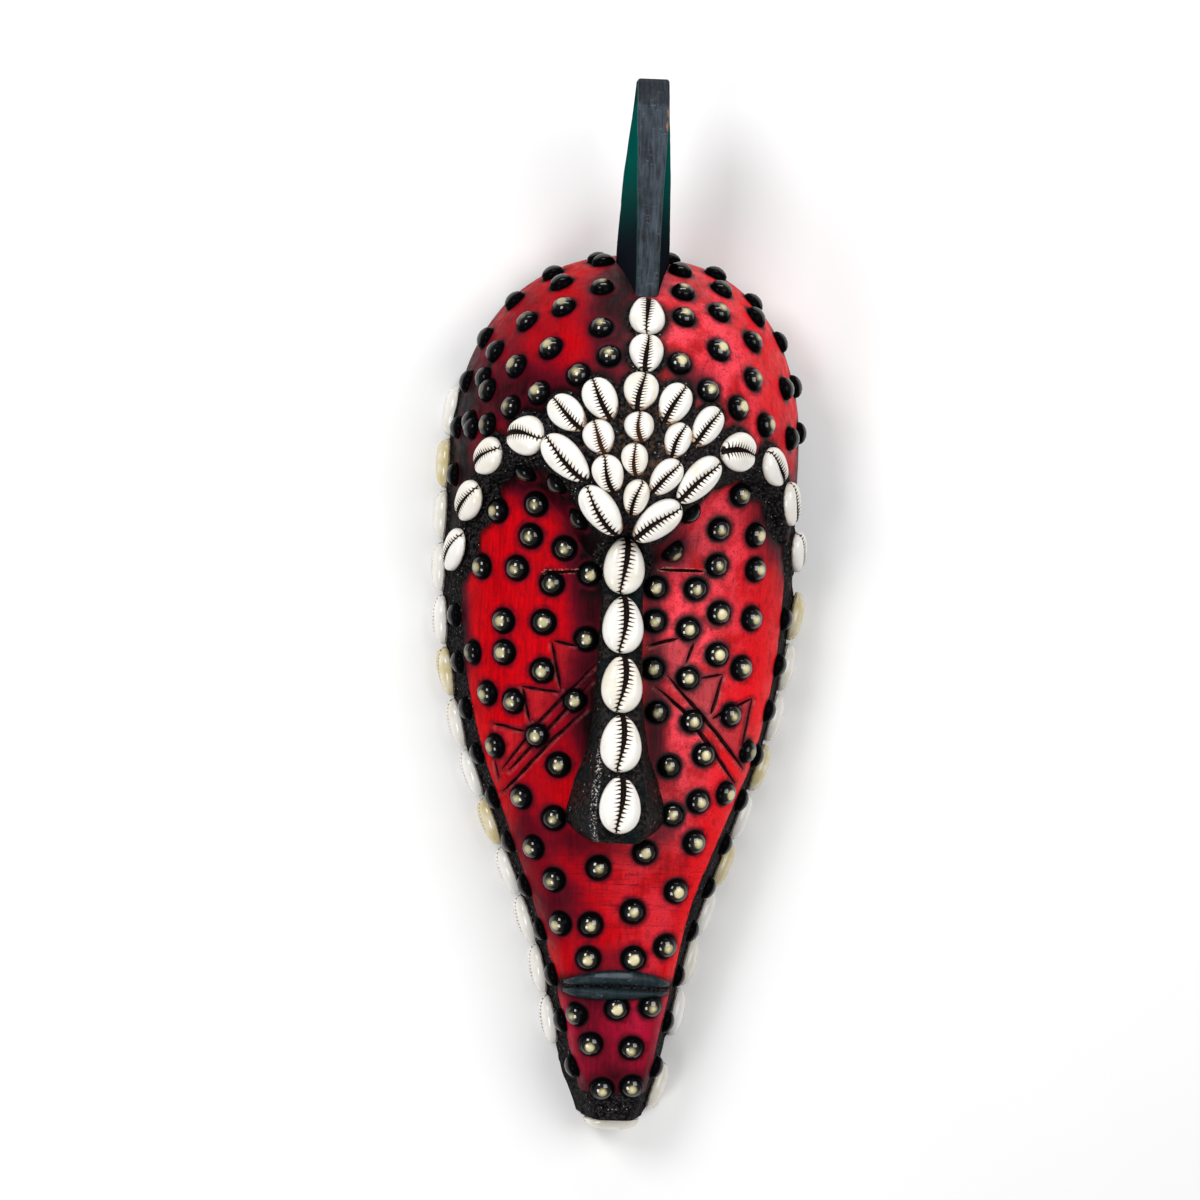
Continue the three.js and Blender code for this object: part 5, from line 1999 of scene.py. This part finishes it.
    def _hollow(self, material: Material) -> Object:
        """Makes the hollow with its gouge marks, open at the back.

        Args:
            material: Its finish.

        Returns:
            The solid that is cut out.
        """
        form = self.form
        face = np.arange(form.hollow_end, form.brow_level, 4.0)
        rise = np.sin(np.linspace(0.0, math.radians(86), 22))
        dome = form.brow_level + (form.hollow_top - form.brow_level) * rise
        turns = np.linspace(0.0, 180.0, 62)
        rings = []
        for level in np.concatenate([face, dome]):
            arch = form.hollow_point(np.full(len(turns), level), turns)
            depth = 0.9 * grain(arch, 9.0, 61) + 0.3 * grain(arch, 4.0, 62)
            inner = np.array([float(form.drift.at(level)), level, 0.0]) - arch
            arch = arch + unit(inner) * np.abs(depth)[:, None] * smoothstep(arch[:, 2:], 0.0, 6.0)
            left, right = arch[-1] * [1, 1, 0] + [0, 0, -3.0], arch[0] * [1, 1, 0] + [0, 0, -3.0]
            rings.append(np.concatenate([arch, [left, right]]))
        rings = np.array(rings)
        top = np.array([float(form.drift.at(form.hollow_top)), form.hollow_top, 0.0])
        return loft("hollow", rings, material, (rings[0].mean(axis=0), top))

    def _paint(self, mesh: Mesh) -> None:
        """Writes the numbers that the finishes read.

        Args:
            mesh: The finished wood.
        """
        points = corners_of(mesh)
        side = points[:, 0] - self.form.drift.at(points[:, 1])
        reach = np.maximum(self.form.rim_half_width(points[:, 1]), 1.0)
        share = np.clip(np.abs(side) / reach, 0.0, 1.0)
        numbers = {
            **self._borders(points, side, share), **self._marks(points, side, share), **self._wear(points)
        }
        for name, values in numbers.items():
            set_numbers(mesh, name, values)

    def _borders(self, points: Array, side: Array, share: Array) -> dict[str, Array]:
        """Works out how far the sandy glue and the black of the walls reach.

        Args:
            points: Corners of the wood.
            side: How far right of the middle line they lie.
            share: How far out they lie, 1 at the rim.

        Returns:
            Distances in millimetres: inside the glue, and above the walls' black.
        """
        form, y, z = self.form, points[:, 1], points[:, 2]
        brow = form.brow_edge.at(share)
        eye_side = smoothstep(y, brow + 5.0, brow - 3.0)
        glue = 10.0 - np.linalg.norm(points - self.layout.lost_place, axis=1)
        mouth = np.hypot(side / (self.mouth_half_width + 0.5), (y - self.mouth_level) / 3.4)
        glue = np.maximum(glue, 4.0 * (1.0 - mouth))
        for part, (narrow, wide) in self.glue_widths.items():
            shells = [shell for shell in self.layout.shells if part in shell.name]
            reach = narrow + (wide - narrow) * eye_side
            glue = np.maximum(glue, reach - self._outside_shells(points, shells))
        dome = smoothstep(y, brow - form.brow_slope, brow)
        edge_share = np.where(side > 0, self.right_paint_edge.at(y), self.left_paint_edge.at(y))
        arris = edge_share * form.face_heights.at(y)
        dome_foot = 19.0 - 13.0 * smoothstep(y, 72.0, 112.0)
        foot = arris + (dome_foot - arris) * dome
        wall = np.where((share > 0.45) | (z < 12.0), z - foot, 9.0)
        wall = np.minimum(wall, y + 194.5)
        return {"glue": np.clip(glue, -8.0, 8.0), "wall": np.clip(wall, -8.0, 8.0)}

    def _marks(self, points: Array, side: Array, share: Array) -> dict[str, Array]:
        """Works out where the red is smoked or painted in shade, where its painted sheen goes, where it is
        vivid, dull or cut, and where cut edges get a painted highlight, as the photograph shows it.

        Args:
            points: Corners of the wood.
            side: How far right of the middle line they lie.
            share: How far out they lie, 1 at the rim.

        Returns:
            Shares and distances in millimetres.
        """
        pixels = self.sight.pixels_of(points)
        column, row = pixels.T
        apart = np.full(len(points), 20.0)
        for place in self.tacks.places:
            apart = np.minimum(apart, np.linalg.norm(points - place, axis=1))
        smoke = np.zeros(len(points))
        for *spot, strength in self.smoke:
            smoke = smoke + strength * np.exp(-spread(pixels, *spot))
        strip = smoothstep(share, 0.5, 0.82) * (side > 0)
        # lit_side: where the painted pink sheen goes, on the right and less towards the bottom.
        lit_side = smoothstep(column, 560.0, 680.0) * (1.0 - 0.6 * smoothstep(row, 800.0, 900.0))
        from_cut = self._beside(pixels, self.left_cuts + self.right_cuts)
        return {
            "from_tack": apart - self.tacks.radius,
            "smoke": np.clip(smoke, 0.0, 1.4),
            "panel": sum(inside(pixels, line) for line in self.panels) * (0.3 + 0.6 * (side > 0)),
            "lit_side": lit_side * (1.0 - 0.8 * strip),
            "strokes": np.exp(-spread(pixels, 625.0, 880.0, 75.0, 62.0)),
            "vivid": strip * (0.45 + 0.4 * smoothstep(row, 600.0, 700.0)),
            "crimson": smoothstep(row, 985.0, 1010.0) * 0.75,
            "fan": smoothstep(np.sqrt(spread(pixels, 638.0, 452.0, 62.0, 52.0)), 1.0, 0.7) * 0.8,
            "from_cut": np.abs(from_cut),
            # Painted highlight just below each cut line, stronger on the right.
            "scuff": (0.3 + 0.25 * (side > 0)) * np.exp(-(((from_cut - 1.1) / 0.4) ** 2)),
            "from_eye": np.abs(self._beside(pixels, self.eye_slits)),
        }

    def _wear(self, points: Array) -> dict[str, Array]:
        """Works out where arrises show wear, where the blade is green, and the painted shade and painted
        highlight of the slate paint.

        Args:
            points: Corners of the wood.

        Returns:
            Shares, 1 where it is strongest.
        """
        x, y, z = points.T
        form, nose, blade = self.form, self.nose, self.blade
        on_blade = (y > 112.0) & (z > 28.0) & (np.abs(x - blade.axis) < 12.5)
        front = blade.read(blade.fronts, y)
        depth = blade.read(blade.highs, y) - z
        left, right = (np.exp(-(((x - blade.axis + away) / 1.3) ** 2)) for away in (front, -front))
        worn_top = 0.35 + 0.35 * smoothstep(y, 185.0, 195.0) * smoothstep(y, 204.0, 199.0)
        blade_wear = np.exp(-((depth / 2.0) ** 2)) * (0.42 * left + worn_top * right)
        nose_edge = np.exp(-(((x - nose.axis(y) + nose.ridge.at(y) - 0.9) / 1.8) ** 2))
        high = smoothstep(z, form.face_heights.at(y) + 4, 70.0)
        nose_wear = nose_edge * smoothstep(y, -40.0, -60.0) * high
        lip_corner = np.exp(-(((x + 13.5) / 3.0) ** 2) - (((y + 151.0) / 4.0) ** 2))
        green = smoothstep(depth, 0.5, 1.6)
        # Painted shade of the blade: darker on its top facet, at its base and down its green sides.
        facet = smoothstep(y, 200.0, 202.0) * 0.55 + smoothstep(y, 125.0, 112.0) * 0.4
        facet = facet + 0.95 * green * smoothstep(y, 200.0, 135.0)
        # Painted highlight along the top of the upper lip.
        lip_light = smoothstep(y, -147.5, -145.8) * smoothstep(np.abs(x + 0.5), 11.0, 6.0)
        return {
            "wear": np.where(on_blade, blade_wear, np.maximum(nose_wear, 0.5 * lip_corner)),
            "green": np.where(on_blade, green, 0.1),
            "shade": np.where(on_blade, facet, 0.25 - 1.1 * lip_light * (z > 48.0)),
        }

    def _beside(self, pixels: Array, lines: Sequence[Line]) -> Array:
        """Gives distances from the nearest line.

        Args:
            pixels: Where the points show.
            lines: Ends and bends of each line.

        Returns:
            Distances in millimetres, positive on the lower side of the line.
        """
        nearest = np.full(len(pixels), 9.0)
        for line in lines:
            for start, end in zip(np.array(line[:-1], float), np.array(line[1:], float)):
                along = end - start
                share = np.clip((pixels - start) @ along / (along @ along), 0.0, 1.0)
                away = pixels - start - share[:, None] * along
                apart = np.linalg.norm(away, axis=1) * self.sight.per_pixel
                lower = np.where(away[:, 1] > 0, 1.0, -1.0)
                nearest = np.where(apart < np.abs(nearest), apart * lower, nearest)
        return nearest


def spread(pixels: Array, column: float, row: float, wide: float, high: float) -> Array:
    """Gives the squared distances of pixels from a spot, in its own half-widths and half-heights."""
    return ((pixels[:, 0] - column) / wide) ** 2 + ((pixels[:, 1] - row) / high) ** 2


def inside(pixels: Array, outline: Line) -> Array:
    """Tells which pixels lie inside an outline.

    Args:
        pixels: Columns and rows.
        outline: Corners of the outline.

    Returns:
        1 inside and 0 outside.
    """
    within = np.zeros(len(pixels), bool)
    column, row = pixels.T
    for start, end in zip(outline, (*outline[1:], outline[0])):
        crosses = (start[1] > row) != (end[1] > row)
        drop = end[1] - start[1] if end[1] != start[1] else 1e-9
        within ^= crosses & (column < start[0] + (row - start[1]) * (end[0] - start[0]) / drop)
    return within.astype(float)


@dataclass(frozen=True)
class SoftBox:
    """A rectangular lamp: where it hangs, its size and its power."""

    name: str
    place: tuple[float, float, float]
    size: tuple[float, float]
    watts: float


@dataclass
class Studio:
    """The pale floor, the soft lamps and the camera."""

    sight: Sight
    floor_colour: Colour = (0.92, 0.92, 0.92, 1)
    sky: float = 0.22
    lamps: tuple[SoftBox, ...] = (
        SoftBox("front_lamp", (0.62, 0.2, 1.1), (0.8, 0.8), 8.2),
        SoftBox("upper_window", (-0.56, 0.42, 0.9), (0.34, 0.42), 5.4),
        SoftBox("lower_window", (-0.55, -0.62, 0.8), (0.34, 0.42), 4.2),
        SoftBox("top_lamp", (0.05, 1.25, 0.55), (0.9, 0.22), 4.0),
    )

    def build(self) -> None:
        """Sets up the floor, the lamps, the sky and the camera."""
        scene = bpy.context.scene
        scene.view_settings.view_transform = "Standard"
        self._floor()
        for lamp in self.lamps:
            self._lamp(lamp)
        scene.world = bpy.data.worlds.new("soft_sky")
        scene.world.use_nodes = True
        sky = scene.world.node_tree.nodes["Background"].inputs
        sky["Color"].default_value = (1, 1, 1, 1)
        sky["Strength"].default_value = self.sky
        self._camera()

    def _floor(self) -> None:
        """Lays the pale floor under the mask."""
        recipe = Recipe("pale_floor", self.floor_colour)
        recipe.lay((0.9, 0.9, 0.9, 1), recipe.noise(60.0, 1.0, 2, 0.5))
        material = recipe.finish(0.9, Specular_IOR_Level=0.1)
        half = 3000.0
        corners = [[-half, -half, 0], [half, -half, 0], [half, half, 0], [-half, half, 0]]
        make_object("floor", np.array(corners), [(0, 1, 2, 3)], material)

    def _lamp(self, box: SoftBox) -> None:
        """Hangs one soft lamp and turns it to the mask.

        Args:
            box: The lamp.
        """
        data = bpy.data.lights.new(box.name, "AREA")
        data.shape = "RECTANGLE"
        data.size, data.size_y = box.size
        data.energy = box.watts
        place = np.array(box.place)
        back = unit(place - [0.0, 0.0, 0.05])
        right = unit(np.cross([0.0, 1.0, 0.0], back))
        self._hang(box.name, data, [right, np.cross(back, right), back, place])

    def _camera(self) -> None:
        """Puts the camera at the photograph's place."""
        sight = self.sight
        data = bpy.data.cameras.new("camera")
        data.sensor_fit = "HORIZONTAL"
        data.sensor_width = 36.0
        data.lens = data.sensor_width * sight.distance / (2 * sight.middle * sight.per_pixel)
        data.clip_end = 20.0
        directions = [sight.right, sight.up, sight.back, metres(sight.eye)]
        bpy.context.scene.camera = self._hang("camera", data, directions)

    def _hang(self, name: str, data: bpy.types.ID, directions: list[Array]) -> Object:
        """Places and turns a lamp or the camera.

        Args:
            name: Its name.
            data: What it is.
            directions: Its right, its up, its back and its place, in metres.

        Returns:
            The object.
        """
        made = bpy.data.objects.new(name, data)
        bpy.context.scene.collection.objects.link(made)
        made.matrix_world = Matrix([*np.stack(directions, axis=1).tolist(), (0.0, 0.0, 0.0, 1.0)])
        return made


def main() -> None:
    """Builds the mask's visible pieces and the studio round them."""
    logging.basicConfig(level=logging.INFO, format="%(message)s")
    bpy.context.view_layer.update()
    form, nose, blade, sight = CarvedForm(), NoseForm(), BladeForm(), Sight()
    layout = ShellLayout(form, nose, sight)
    tacks = TackField(form, sight, layout)
    finishes = {
        "red": RedPaint().make(),
        "nose": NosePaint().make(),
        "blade": SlatePaint("slate_blade_paint").make(),
        "lips": SlatePaint("slate_lip_paint", *LIP_COLOURS).make(),
        "hollow": RawWood().make(),
        "groove": GrooveStain().make(),
    }
    CarvedWood(form, nose, blade, sight, layout, tacks).build(finishes)
    tacks.build(TackLacquer().make())
    CowrieShells(layout).build(Porcelain().make())
    Studio(sight).build()


if __name__ == "__main__":
    main()
